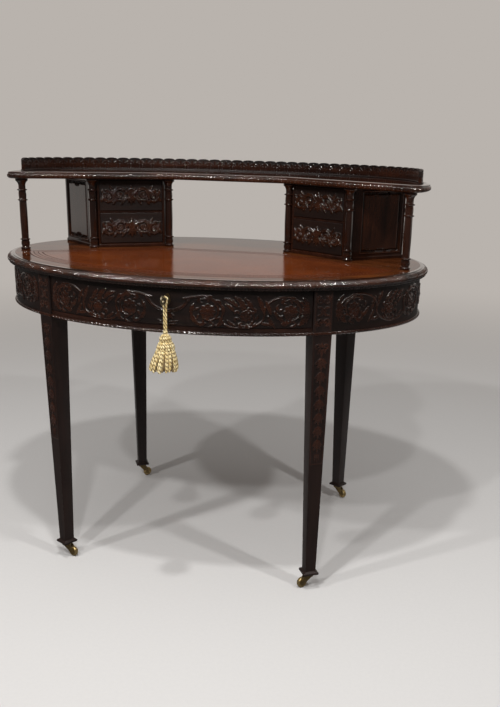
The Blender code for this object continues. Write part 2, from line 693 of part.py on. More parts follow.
def make_drawer():
    """The frieze drawer: its curved front, two sides, back and bottom, and its lock."""
    inside = FRONT_THICKNESS
    section = [(inside, FRONT_TOP), (0.0, FRONT_TOP), (0.0, FRONT_BOTTOM), (inside, FRONT_BOTTOM)]
    surface = finish("drawer_front", MAHOGANY, 0.30)
    front = frieze_band("drawer_front", section, "front_left", "front_right", FRONT_END_PLAY, surface)
    half_lock = LOCK_WIDTH / 2
    lock_low = FRONT_TOP - LOCK_HEIGHT
    low = (-half_lock - GAP, FRONT_BACK_Y - LOCK_DEPTH - GAP, lock_low - GAP)
    mortise = box_shape(low, (half_lock + GAP, FRONT_BACK_Y + CUT_OVERRUN, FRONT_TOP + CUT_OVERRUN))
    combine(front, cutter("lock_mortise", mortise))
    keyhole_cut(front, "front", FACE_Y - CUT_OVERRUN, FRONT_BACK_Y)

    low = (-half_lock, FRONT_BACK_Y - LOCK_DEPTH, lock_low)
    case = box_shape(low, (half_lock, FRONT_BACK_Y, FRONT_TOP))
    lock = solid("drawer_lock", *case, finish("drawer_lock", BRASS, 0.42, 1.0))
    lying = Matrix.Translation((0.0, 0.0, KEY_HEIGHT)) @ Matrix.Rotation(pi / 2, 4, "X")
    pocket_back = FRONT_BACK_Y - LOCK_DEPTH + BIT_POCKET_DEPTH
    pocket_front = FRONT_BACK_Y - LOCK_DEPTH - CUT_OVERRUN
    pocket = turned(((BIT_POCKET_RADIUS, -pocket_back), (BIT_POCKET_RADIUS, -pocket_front)), 20)
    combine(lock, cutter("bit_pocket", pocket, lying))
    bolt_top = FRONT_TOP - BOLT_DROP
    bolt_low = bolt_top - BOLT_HEIGHT
    half_width, half_depth = BOLT_WIDTH / 2, BOLT_THICKNESS / 2
    low = (-half_width - GAP, bolt_y() - half_depth - GAP, bolt_low - GAP)
    slot = box_shape(low, (half_width + GAP, bolt_y() + half_depth + GAP, FRONT_TOP + CUT_OVERRUN))
    combine(lock, cutter("bolt_slot", slot))
    low = (-half_width, bolt_y() - half_depth, bolt_low)
    high = (half_width, bolt_y() + half_depth, bolt_top)
    bolt = solid("lock_bolt", *box_shape(low, high), finish("lock_bolt", BRASS, 0.34, 1.0))

    side_low = RAIL_TOP + DRAWER_PLAY
    side_high = FRONT_TOP - BOX_SIDE_DROP
    outer = box_half_width()
    inner = outer - BOX_SIDE_THICKNESS
    box_back = FRONT_BACK_Y + BOX_LENGTH
    sides = []
    for name, side in SIDES.items():
        outline = [(side * x, -inner_curve_y(x, FRONT_THICKNESS) + GAP) for x in (outer, inner)]
        outline += [(side * inner, box_back), (side * outer, box_back)]
        label = f"drawer_side_{name}"
        sides.append(solid(label, *prism(outline, side_low, side_high), finish(label, DRAWER_LINING, 0.55)))

    bottom_low = side_low + BOX_BOTTOM_LIFT
    bottom_high = bottom_low + BOX_BOTTOM_THICKNESS
    reach = inner - GAP
    steps = 12
    outline = []
    for step in range(steps + 1):
        x = -reach + 2 * reach * step / steps
        outline.append((x, -inner_curve_y(x, FRONT_THICKNESS) + GAP))
    outline += [(reach, box_back), (-reach, box_back)]
    surface = finish("drawer_bottom", DRAWER_LINING, 0.60)
    bottom = solid("drawer_bottom", *prism(outline, bottom_low, bottom_high), surface)
    low = (-reach, box_back - BOX_BACK_THICKNESS, bottom_high + GAP)
    surface = finish("drawer_back", DRAWER_LINING, 0.55)
    back = solid("drawer_back", *box_shape(low, (reach, box_back, side_high)), surface)

    slide = axis_empty("drawer_axis", (0.0, FACE_Y, (FRONT_TOP + FRONT_BOTTOM) / 2))
    bolt_axis = axis_empty("bolt_axis", (0.0, bolt_y(), FRONT_TOP))
    carry(slide, front, lock, bottom, back, make_keyhole_plate(), bolt_axis, *sides)
    carry(bolt_axis, bolt)
    return slide


def make_keyhole_plate():
    """A small oval brass plate on the drawer's face, round the keyhole."""
    outer_y = FACE_Y - GAP - PLATE_THICKNESS
    rings = []
    for depth in (outer_y, FACE_Y - GAP):
        ring = []
        for step in range(PLATE_SIDES):
            angle = 2 * pi * step / PLATE_SIDES
            x, z = PLATE_WIDTH / 2 * cos(angle), PLATE_HEIGHT / 2 * sin(angle)
            ring.append((x, depth, KEY_HEIGHT - BIT_POCKET_RADIUS / 3 + z))
        rings.append(ring)
    plate = solid("keyhole_plate", *lofted(rings), finish("keyhole_plate", BRASS, 0.35, 1.0))
    keyhole_cut(plate, "plate", outer_y - CUT_OVERRUN, FACE_Y + CUT_OVERRUN)
    return plate


def make_key():
    """The key: a turned shank with two collars, a ring for its bow and a flat bit inside the lock."""
    back_collar = CORD_Y + NECK_HALF_LENGTH
    front_collar = CORD_Y - NECK_HALF_LENGTH
    bow_start = front_collar - COLLAR_THICKNESS
    bow_centre = bow_start - BOW_RADIUS
    profile = (
        (SHANK_RADIUS, SHANK_END_Y), (SHANK_RADIUS, back_collar + COLLAR_THICKNESS),
        (COLLAR_RADIUS, back_collar + COLLAR_THICKNESS), (COLLAR_RADIUS, back_collar),
        (SHANK_RADIUS, back_collar), (SHANK_RADIUS, front_collar),
        (COLLAR_RADIUS, front_collar), (COLLAR_RADIUS, bow_start),
        (SHANK_RADIUS, bow_start),
        (SHANK_RADIUS * SHANK_TIP_SHARE, bow_centre + (BOW_RADIUS + BOW_HOLE_RADIUS) / 2),
    )
    lying = Matrix.Translation((0.0, 0.0, KEY_HEIGHT)) @ Matrix.Rotation(pi / 2, 4, "X")
    shank = turned([(radius, -y) for radius, y in profile], 12)
    key = solid("key", *moved(shank, lying), finish("key", BRASS, 0.38, 1.0), smooth=True)
    rings = []
    for step in range(20):
        angle = 2 * pi * step / 20
        ring = []
        for radius, across in ((BOW_HOLE_RADIUS, -1), (BOW_RADIUS, -1), (BOW_RADIUS, 1), (BOW_HOLE_RADIUS, 1)):
            y = bow_centre + radius * cos(angle)
            ring.append((across * BOW_THICKNESS / 2, y, KEY_HEIGHT + radius * sin(angle)))
        rings.append(ring)
    combine(key, cutter("key_bow", lofted(rings, closed=True)), "UNION")
    low = (-KEY_BIT_THICKNESS / 2, SHANK_END_Y - KEY_BIT_LENGTH, KEY_HEIGHT - KEY_BIT_REACH)
    bit = box_shape(low, (KEY_BIT_THICKNESS / 2, SHANK_END_Y - GAP, KEY_HEIGHT))
    combine(key, cutter("key_bit", bit), "UNION")
    return key


def make_tassel():
    """A cord looped over the key's neck, both ends in the knot of a tassel that hangs below the frieze."""
    loop_radius = SHANK_RADIUS + GAP + CORD_RADIUS
    strand = CORD_RADIUS + GAP / 2
    knot_top = FRIEZE_BOTTOM + KNOT_TOP_RISE
    shares = ((1.0, 0.0), (0.80, 0.28), (0.25, 0.62), (0.0, 1.0))
    left = []
    for out_share, down_share in shares:
        x = strand + (loop_radius - strand) * out_share
        left.append((-x, KEY_HEIGHT - (KEY_HEIGHT - knot_top - GAP) * down_share))
    over = []
    for step in range(1, CORD_STEPS):
        angle = pi - pi * step / CORD_STEPS
        over.append((loop_radius * cos(angle), KEY_HEIGHT + loop_radius * sin(angle)))
    route = smooth_route(list(reversed(left))) + over + smooth_route([(-x, z) for x, z in left])
    curve = bpy.data.curves.new("tassel_cord", "CURVE")
    curve.dimensions = "3D"
    curve.bevel_depth = CORD_RADIUS
    curve.bevel_resolution = 2
    curve.use_fill_caps = True
    line = curve.splines.new("POLY")
    line.points.add(len(route) - 1)
    for point, (x, z) in zip(line.points, route):
        point.co = (x, CORD_Y, z, 1.0)
    curve.materials.append(finish("tassel_cord", STRAW_SILK, 0.75))
    cord = bpy.data.objects.new("tassel_cord", curve)
    bpy.context.scene.collection.objects.link(cord)

    head_top = knot_top - KNOT_HEIGHT
    profile = [
        (KNOT_RADIUS * share, knot_top - KNOT_HEIGHT * down / (len(KNOT_SHARES) - 1))
        for down, share in enumerate(KNOT_SHARES)
    ]
    profile += [(TASSEL_RADIUS * out, head_top - TASSEL_HEIGHT * down) for out, down in TASSEL_SHARES[1:]]
    shape = moved(turned(profile[::-1], 18), Matrix.Translation((0.0, CORD_Y, 0.0)))
    tassel = solid("tassel", *shape, finish("tassel", STRAW_SILK, 0.80), smooth=True)
    return cord, tassel


def smooth_route(points):
    """Points of a smooth curve through a strand's own points, a quarter of the way apart."""
    route = []
    for index in range(len(points) - 1):
        before = points[max(index - 1, 0)]
        start, end = points[index], points[index + 1]
        after = points[min(index + 2, len(points) - 1)]
        for step in range(4):
            t = step / 4
            place = []
            for a, b, c, d in zip(before, start, end, after):
                bend = (2 * a - 5 * b + 4 * c - d) * t * t + (3 * b - a - 3 * c + d) * t * t * t
                place.append((2 * b + (c - a) * t + bend) / 2)
            route.append(tuple(place))
    return route + [points[-1]]


def make_columns():
    """Six turned columns: a base, two thin rings near the top, one near the foot and a flared cap."""
    low = TOP_HEIGHT + GAP
    profile = [
        (COLUMN_RING_RADIUS * COLUMN_FOOT_SHARE, low), (COLUMN_RING_RADIUS, low + COLUMN_BASE_HEIGHT / 2),
    ]
    profile.append((COLUMN_SHAFT_RADIUS, low + COLUMN_BASE_HEIGHT))
    high = SHELF_UNDERSIDE - GAP
    for middle in (low + LOW_RING_RISE, high - MIDDLE_RING_DROP, high - HIGH_RING_DROP):
        profile.append((COLUMN_SHAFT_RADIUS, middle - COLUMN_RING_HEIGHT / 2))
        profile.append((COLUMN_RING_RADIUS, middle))
        profile.append((COLUMN_SHAFT_RADIUS, middle + COLUMN_RING_HEIGHT / 2))
    profile.append((COLUMN_SHAFT_RADIUS, high - CAP_HEIGHT))
    profile.append((COLUMN_RING_RADIUS, high - CAP_HEIGHT * CAP_SHARES[0]))
    profile.append((COLUMN_CAP_RADIUS, high - CAP_HEIGHT * CAP_SHARES[1]))
    profile.append((COLUMN_CAP_RADIUS, high))
    shape = turned(profile, COLUMN_SIDES)
    for side_name, side in SIDES.items():
        for place_name, along in (("outer", 0.0), ("middle", MIDDLE_COLUMN), ("inner", INNER_COLUMN)):
            label = f"column_{side_name}_{place_name}"
            column = solid(label, *shape, finish(label, MAHOGANY, 0.25), smooth=True)
            column.location = (*wing_point(side, along, 0.0), 0.0)


def pedestal_outline(grow, notch):
    """A right pedestal's plan: a round notch for each column, its flared side and its curved back."""
    half_width = TOP_WIDTH / 2 - PEDESTAL_SETBACK + grow
    half_depth = TOP_DEPTH / 2 - PEDESTAL_SETBACK + grow
    lean = asin(grow / notch)
    outline = []
    for step in range(NOTCH_STEPS + 1):
        angle = -lean + (PEDESTAL_SIDE_ANGLE + 2 * lean) * step / NOTCH_STEPS
        outline.append(wing_point(1, MIDDLE_COLUMN + notch * cos(angle), notch * sin(angle)))
    corners = []
    starts = (
        (MIDDLE_COLUMN - grow * sin(PEDESTAL_SIDE_ANGLE), grow * cos(PEDESTAL_SIDE_ANGLE), PEDESTAL_SIDE_ANGLE),
        (INNER_COLUMN + grow, 0.0, pi / 2),
    )
    for along, back, turn in starts:
        start = wing_point(1, along, back)
        way = wing_point(1, along + cos(turn), back + sin(turn)) - start
        corner = start + way * oval_reach(start, way, half_width, half_depth)
        corners.append(oval_angle(corner, half_width, half_depth))
    for step in range(9):
        angle = corners[0] + (corners[1] - corners[0]) * step / 8
        outline.append(oval(half_width, half_depth, angle))
    for step in range(NOTCH_STEPS + 1):
        angle = pi / 2 - lean + (pi / 2 + 2 * lean) * step / NOTCH_STEPS
        outline.append(wing_point(1, INNER_COLUMN + notch * cos(angle), notch * sin(angle)))
    return outline


def side_length():
    """The length of a pedestal's outer side, from the middle column to the curved back."""
    half_width, half_depth = TOP_WIDTH / 2 - PEDESTAL_SETBACK, TOP_DEPTH / 2 - PEDESTAL_SETBACK
    start = side_point(1, 0.0, 0.0)
    return oval_reach(start, side_point(1, 1.0, 0.0) - start, half_width, half_depth)


def side_point(side, along, out):
    """A plan point on a pedestal's outer side: along it from the middle column, and out from it."""
    turn = PEDESTAL_SIDE_ANGLE
    forward = MIDDLE_COLUMN + along * cos(turn) - out * sin(turn)
    return wing_point(side, forward, along * sin(turn) + out * cos(turn))


def wing_block(side, along_range, back_range, low, high):
    """Points and faces of an upright block whose sides follow a wing's line of columns."""
    (a, b), (c, d) = along_range, back_range
    outline = [wing_point(side, along, back) for along, back in ((a, c), (b, c), (b, d), (a, d))]
    return prism(outline, low, high)


def make_pedestals():
    """Two pedestals with their carved side panels and their small drawers."""
    low = TOP_HEIGHT + GAP
    high = SHELF_UNDERSIDE - GAP
    moulding = low + BASE_MOULDING_HEIGHT
    ends = (SMALL_OPENING_START, SMALL_OPENING_END)
    cap = high - CAP_HEIGHT - GAP
    levels = (
        (BASE_MOULDING_PROUD, NOTCH_RADIUS, low),
        (BASE_MOULDING_PROUD, NOTCH_RADIUS, moulding - BASE_MOULDING_PROUD),
        (0.0, NOTCH_RADIUS, moulding),
        (0.0, NOTCH_RADIUS, cap - GAP),
        (0.0, CAP_NOTCH_RADIUS, cap),
        (0.0, CAP_NOTCH_RADIUS, high),
    )
    for name, side in SIDES.items():
        rings = []
        for grow, notch, height in levels:
            rings.append([(side * point.x, point.y, height) for point in pedestal_outline(grow, notch)])
        label = f"pedestal_{name}"
        pedestal = solid(label, *lofted(rings), finish(label, RED_MAHOGANY, 0.24))
        for row, level in enumerate(("lower", "upper")):
            floor = TOP_HEIGHT + SMALL_OPENING_LOW + row * (SMALL_OPENING_HEIGHT + SMALL_DIVIDER)
            ceiling = floor + SMALL_OPENING_HEIGHT
            hollow = wing_block(side, ends, (-CUT_OVERRUN, small_opening_depth()), floor, ceiling)
            combine(pedestal, cutter(f"hollow_{name}_{level}", hollow))
            make_small_drawer(name, side, level, floor, ceiling)
        make_side_panel(name, side, pedestal)


def small_opening_depth():
    """How deep the small drawers' openings go before the pedestal's curved back would grow too thin."""
    half_width = TOP_WIDTH / 2 - PEDESTAL_SETBACK
    half_depth = TOP_DEPTH / 2 - PEDESTAL_SETBACK
    back = wing_point(1, 0.0, 1.0) - wing_point(1, 0.0, 0.0)
    starts = [wing_point(1, along, 0.0) for along in (SMALL_OPENING_START, SMALL_OPENING_END)]
    return min(oval_reach(start, back, half_width, half_depth) for start in starts) - PEDESTAL_BACK_WALL


def make_small_drawer(name, side, level, floor, ceiling):
    """A small drawer: its front, and behind it a tray open at the top."""
    start, end = SMALL_OPENING_START + DRAWER_PLAY, SMALL_OPENING_END - DRAWER_PLAY
    low = floor + DRAWER_PLAY
    back = SMALL_FRONT_THICKNESS - SMALL_FRONT_PROUD
    label = f"small_front_{name}_{level}"
    shape = wing_block(side, (start, end), (-SMALL_FRONT_PROUD, back), low, ceiling - DRAWER_PLAY)
    front = solid(label, *shape, finish(label, MAHOGANY, 0.26))

    tray_front = back + GAP
    tray_back = small_opening_depth() - SMALL_TRAY_BACK_PLAY
    rim = ceiling - DRAWER_PLAY - SMALL_TRAY_DROP
    label = f"small_tray_{name}_{level}"
    shape = wing_block(side, (start, end), (tray_front, tray_back), low, rim)
    tray = solid(label, *shape, finish(label, DRAWER_LINING, 0.55))
    inside = wing_block(
        side, (start + TRAY_WALL, end - TRAY_WALL), (tray_front + TRAY_WALL, tray_back - TRAY_WALL),
        low + TRAY_BOTTOM, rim + CUT_OVERRUN,
    )
    combine(tray, cutter(f"tray_inside_{name}_{level}", inside))
    middle = wing_point(side, (start + end) / 2, 0.0)
    axis = axis_empty(f"small_drawer_axis_{name}_{level}", (*middle, (low + ceiling) / 2))
    carry(axis, front, tray)


def make_side_panel(name, side, pedestal):
    """A framed panel let into a pedestal's outer side."""
    low, high = TOP_HEIGHT + PANEL_LOW, SHELF_UNDERSIDE - PANEL_TOP
    start, end = PANEL_START, side_length() - PANEL_END

    def frame_ring(inset, out):
        places = (
            (start + inset, low + inset), (end - inset, low + inset),
            (end - inset, high - inset), (start + inset, high - inset),
        )
        return [(*side_point(side, along, out), height) for along, height in places]

    recess = lofted([frame_ring(0.0, -PANEL_THICKNESS), frame_ring(0.0, CUT_OVERRUN)])
    combine(pedestal, cutter(f"panel_recess_{name}", recess))
    rings = [
        frame_ring(GAP, GAP - PANEL_THICKNESS),
        frame_ring(GAP, 0.0),
        frame_ring(PANEL_FRAME, 0.0),
        frame_ring(PANEL_FRAME + PANEL_BEVEL, -PANEL_SINK),
    ]
    label = f"side_panel_{name}"
    solid(label, *lofted(rings), finish(label, RED_MAHOGANY, 0.20))


def shelf_outline(inset):
    """The shelf's crescent: the oval round the back, a round tip past each outer column, the front line."""
    half_width, half_depth = SHELF_HALF_WIDTH - inset, SHELF_HALF_DEPTH - inset
    tip, bend, middle = wing_line(SHELF_FRONT_LIP - inset, half_width, half_depth)
    tip_angle = oval_angle(tip, half_width, half_depth)
    past_tip = oval(half_width, half_depth, tip_angle + radians(4))
    round_tip = fillet(past_tip, tip, bend, SHELF_TIP_RADIUS - inset, 6)
    start = oval_angle(round_tip[0], half_width, half_depth)
    shares = [(step + 0.5) / SHELF_STEPS for step in range(SHELF_STEPS)]
    arc = [oval(half_width, half_depth, pi / 2 + (start - pi / 2) * share) for share in shares]
    front = fillet(tip, bend, middle, SHELF_BEND_RADIUS, 4)
    return mirrored_outline(arc + round_tip[1:] + front)


def make_shelf():
    """The crescent shelf, its edge moulded all round."""
    rings = []
    for inset_share, height_share in SHELF_EDGE_SHARES:
        height = SHELF_UNDERSIDE + SHELF_THICKNESS * height_share
        rings.append([(*point, height) for point in shelf_outline(SHELF_EDGE * inset_share)])
    solid("shelf", *lofted(rings), finish("shelf", MAHOGANY, 0.24), smooth=True)


def make_gallery():
    """The gallery: a foot moulding and a thin upright band whose top edge is a row of flat arches."""
    low = SHELF_TOP + GAP
    foot = low + GALLERY_FOOT_HEIGHT
    notch = low + GALLERY_HEIGHT - GALLERY_NOTCH
    half_width, half_depth = SHELF_HALF_WIDTH - GALLERY_INSET, SHELF_HALF_DEPTH - GALLERY_INSET
    thick, proud = GALLERY_THICKNESS / 2, GALLERY_THICKNESS / 2 + GALLERY_FOOT_PROUD
    stations = []
    for arch in range(GALLERY_ARCHES):
        for along_share, rise_share in GALLERY_ARCH_SHARES:
            stations.append(((arch + along_share) / GALLERY_ARCHES, rise_share))
    stations.append((1.0, 0.0))
    shares = [along_share for along_share, _ in stations]
    angles = parted_angles(half_width, half_depth, GALLERY_END, pi - GALLERY_END, shares)
    rings = []
    for angle, (_, rise_share) in zip(angles, stations):
        top = notch + GALLERY_NOTCH * rise_share
        inside = [(-proud, low), (-proud, foot), (-thick, foot), (-thick, top)]
        section = inside + [(-out, height) for out, height in reversed(inside)]
        rings.append([(*oval(half_width + out, half_depth + out, angle), height) for out, height in section])
    solid("gallery", *lofted(rings), finish("gallery", MAHOGANY, 0.30))


def stand_over_origin():
    """Moves the whole desk so that the middle of its box, key included, is over the origin."""
    for piece in bpy.data.objects:
        if piece.parent is None:
            piece.location.y += DESK_SHIFT


def main():
    """Makes every piece, then moves the desk until its box is centred over the origin."""
    clear_scene()
    make_top()
    make_leather()
    make_friezes()
    make_runners()
    make_legs()
    make_castors()
    drawer = make_drawer()
    key, (cord, tassel) = make_key(), make_tassel()
    key_axis = axis_empty("key_axis", (0.0, CORD_Y, KEY_HEIGHT))
    tassel_axis = axis_empty("tassel_axis", (0.0, CORD_Y, KEY_HEIGHT))
    carry(drawer, key_axis, tassel_axis)
    carry(key_axis, key)
    carry(tassel_axis, cord, tassel)
    make_columns()
    make_pedestals()
    make_shelf()
    make_gallery()
    stand_over_origin()


main()
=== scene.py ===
"""The looks of an oval writing desk in carved mahogany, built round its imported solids.

Every new piece is a surface worked out with numpy: a grid of points from two parameters.
Lengths are in metres, in the desk's own frame: X to the sitter's right, Y to the back, Z up.
"""

from math import atan2, cos, pi, radians, sin, sqrt

import bpy
import numpy as np
from mathutils import Matrix, Vector


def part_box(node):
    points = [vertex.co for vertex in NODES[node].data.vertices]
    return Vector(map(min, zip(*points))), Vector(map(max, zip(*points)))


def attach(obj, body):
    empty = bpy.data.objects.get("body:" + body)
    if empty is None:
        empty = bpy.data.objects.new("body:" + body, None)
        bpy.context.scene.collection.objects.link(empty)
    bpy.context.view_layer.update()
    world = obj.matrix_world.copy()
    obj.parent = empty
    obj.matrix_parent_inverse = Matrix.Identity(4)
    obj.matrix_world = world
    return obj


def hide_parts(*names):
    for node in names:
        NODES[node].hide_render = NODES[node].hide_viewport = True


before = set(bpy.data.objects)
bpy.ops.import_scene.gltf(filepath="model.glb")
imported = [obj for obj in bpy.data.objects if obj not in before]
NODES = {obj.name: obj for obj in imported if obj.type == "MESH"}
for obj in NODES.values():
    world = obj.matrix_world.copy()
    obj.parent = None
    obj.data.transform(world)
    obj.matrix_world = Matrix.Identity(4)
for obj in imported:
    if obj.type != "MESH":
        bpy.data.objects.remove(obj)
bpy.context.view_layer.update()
SIDES = (("left", -1), ("right", 1))

# The desk's main sizes, which the solids give
top_low, top_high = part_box("top_board")
MIDDLE_Y = (top_low[1] + top_high[1]) / 2
HALF_WIDTH = (top_high[0] - top_low[0]) / 2
HALF_DEPTH = (top_high[1] - top_low[1]) / 2
TOP_Z, UNDERSIDE_Z = top_high[2], top_low[2]
TOP_MOULDING, OVERHANG, LEATHER_BAND = 0.0195, 0.0175, 0.034
FRIEZE_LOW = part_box("left_frieze")[0][2]
BEAD_HEIGHT, BEAD_PROUD, BEAD_PITCH, LEG_BEAD_PROUD = 0.007, 0.004, 0.0112, 0.0024
LEG_TOP, LEG_FOOT, LEG_PROUD, LEG_CORNER = 0.045, 0.026, 0.003, 0.0011
LEG_STATION = radians(51.2)
LEG_ANGLES = {
    "front_right": -LEG_STATION, "back_right": LEG_STATION,
    "back_left": pi - LEG_STATION, "front_left": LEG_STATION - pi,
}
FRIEZE_ENDS = (
    ("right", "front_right", "back_right"), ("back", "back_right", "back_left"),
    ("left", "back_left", "front_left"), ("front", "front_left", "front_right"),
)
LEG_LOW, LEG_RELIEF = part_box("leg_front_left")[0][2], 0.0026
PLINTH_WIDTH, PLINTH_HEIGHT, PLINTH_COVE = 0.038, 0.005, 0.0045
COLUMN_LOW, COLUMN_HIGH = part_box("column_left_inner")[0][2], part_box("column_left_inner")[1][2]
OUTER_COLUMN_INSET, OUTER_COLUMN_FORWARD = 0.0524, 0.073
WING_ANGLE = radians(32.1)
MIDDLE_COLUMN, INNER_COLUMN, DRAWER_INSET = 0.1756, 0.1756 + 0.2045, 0.0155 + 0.0025 + 0.0008
PEDESTAL_SIDE_ANGLE, PANEL_START = radians(106.3), 0.0363
SHELF_LOW, SHELF_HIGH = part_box("shelf")[0][2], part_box("shelf")[1][2]
SHELF_INSET, SHELF_LIP = 0.011, 0.024
GALLERY_INSET, GALLERY_THICKNESS, GALLERY_END = 0.022, 0.008, radians(-4.5)
GALLERY_ARCHES, GALLERY_NOTCH = 43, 0.0036 * 1.3
# How far a carved skin stands off its solid, and how far its back and a bead's back lie inside
SKIN, SKIN_BACK, BEAD_BACK = 0.0003, 0.0012, 0.0015
WHEEL_HALF_WIDTH = 0.00625
SPOTS = ((-1.5, -1.9, 2.7), (-0.5, -2.3, 2.8), (0.5, -2.5, 2.8), (1.9, -1.1, 2.7), (0.1, -0.9, 3.0))

# The tassel's cord, on the route that the solids have
KEY_HEIGHT, CORD_Y, CORD_RADIUS = 0.716, -0.37655, 0.0021
KNOT_TOP, KNOT_HEIGHT = FRIEZE_LOW + 0.0095, 0.0095


def maths(operation, swapped=False):
    """A method that adds one Math node, on a value and another or on the two swapped."""
    def method(self, other=0.0):
        first, second = (other, self) if swapped else (self, other)
        return self.paint.node("Math", {"operation": operation}, {0: first, 1: second})

    return method


class Value:
    """A number or colour that flows through a material, on which arithmetic adds Math nodes."""

    def __init__(self, paint, socket):
        self.paint, self.socket = paint, socket

    __add__ = __radd__ = maths("ADD")
    __sub__, __rsub__ = maths("SUBTRACT"), maths("SUBTRACT", True)
    __mul__ = __rmul__ = maths("MULTIPLY")
    __truediv__, __pow__ = maths("DIVIDE"), maths("POWER")
    least, most = maths("MINIMUM"), maths("MAXIMUM")
    size, wave = maths("ABSOLUTE"), maths("SINE")

    def ramp(self, low, high):
        """0 below low, 1 above high, smooth between."""
        ends = {0: self, 1: low, 2: high, 3: 0.0, 4: 1.0}
        return self.paint.node("MapRange", {"interpolation_type": "SMOOTHSTEP"}, ends)


class Paint:
    """A material in the making, with one method for any node."""

    def __init__(self, name):
        self.start(bpy.data.materials.new(name), "Principled BSDF")

    def start(self, material, shader):
        self.material, material.use_nodes = material, True
        self.tree = material.node_tree
        self.shader = self.tree.nodes[shader]
        self.place = self.node("TexCoord", output="Object")

    def node(self, kind, settings=None, sockets=None, output=0):
        made = self.tree.nodes.new("ShaderNode" + kind)
        for name, value in (settings or {}).items():
            if name == "stops":
                for stop, (position, colour) in enumerate(value):
                    if stop > 1:
                        made.color_ramp.elements.new(position)
                    made.color_ramp.elements[stop].position = position
                    made.color_ramp.elements[stop].color = (*colour, 1.0)
            else:
                setattr(made, name, value)
        for name, value in (sockets or {}).items():
            if isinstance(value, Value):
                self.tree.links.new(value.socket, made.inputs[name])
            else:
                made.inputs[name].default_value = value
        return Value(self, made.outputs[output])

    def other(self, value, output):
        """Another output of the node that a value comes from."""
        return Value(self, value.socket.node.outputs[output])

    def stretched(self, scale):
        """The object's coordinates, stretched for grain."""
        return self.node("Mapping", {}, {"Vector": self.place, "Scale": scale})

    def noise(self, scale, detail=4.0, roughness=0.55, distortion=0.0, where=None):
        return self.node("TexNoise", {}, {
            "Vector": where or self.place, "Scale": scale, "Detail": detail, "Roughness": roughness,
            "Distortion": distortion,
        })

    def attribute(self, name):
        return self.node("Attribute", {"attribute_name": name}, output="Fac")

    def colours(self, factor, *stops):
        return self.node("ValToRGB", {"stops": stops}, {"Fac": factor})

    def mix(self, factor, first, second):
        def full(colour):
            return colour if isinstance(colour, Value) else (*colour, 1.0)

        return self.node("Mix", {"data_type": "RGBA"}, {0: factor, 6: full(first), 7: full(second)}, 2)

    def bump(self, height, strength, distance):
        return self.node("Bump", {}, {"Height": height, "Strength": strength, "Distance": distance})

    def done(self, **sockets):
        """Sets the shader's sockets: names as in Blender, with _ for a space."""
        for name, value in sockets.items():
            socket = self.shader.inputs[name.replace("_", " ")]
            if isinstance(value, Value):
                self.tree.links.new(value.socket, socket)
            else:
                socket.default_value = (*value, 1.0) if isinstance(value, tuple) else value
        return self.material


class Room(Paint):
    """The world's nodes: pale to the camera, and in the desk's polish pale behind it and dim in front."""

    def __init__(self):
        world = bpy.context.scene.world = bpy.data.worlds.new("room")
        self.start(world, "Background")


def dimmed(colour, share):
    """A colour at a share of its strength."""
    return tuple(part * share for part in colour)


def mahogany(name, grain, dark, light, gloss, polish, shine, clear=0.1, carved=False, dent=0.14):
    """Polished old mahogany: fine dark pores along the grain, slow clouds of tone, and a worn polish.

    Carved wood reads its height attribute: its hollows lie dark and dull, as wax and dirt and as painted
    shade.
    """
    paint = Paint(name)
    along = paint.stretched(grain)
    pores = paint.noise(3.2, 6.0, 0.62, where=along)
    figure = paint.noise(0.55, 3.0, 0.5, 0.6, where=along)
    clouds = paint.noise(5.5, 3.0, 0.5)
    colour = paint.colours(figure * 0.55 + clouds * 0.45, (0.36, dark), (0.64, light))
    colour = paint.mix(pores.ramp(0.5, 0.7) * 0.45, colour, dimmed(dark, 0.45))
    rough = gloss + paint.noise(38.0, 3.0, 0.6) * (gloss * 0.5)
    height = pores * 0.5
    if carved:
        hollow = paint.attribute("height").ramp(0.42, 0.0)
        # Dirt and wax with painted shade: the colour goes dark where the height attribute is low, in hollows,
        # grooves and undercuts
        colour = paint.mix(hollow * 0.68, colour, dimmed(dark, 0.3))
        rough = rough + hollow * 0.3
        height = height + paint.noise(230.0, 2.0) * 0.4
        polish = (1.0 - hollow * 0.85) * polish
    return paint.done(
        Base_Color=colour, Roughness=rough, Coat_Weight=polish, Coat_Roughness=clear, IOR=1.5,
        Specular_IOR_Level=shine, Normal=paint.bump(height, dent, 0.0004),
    )


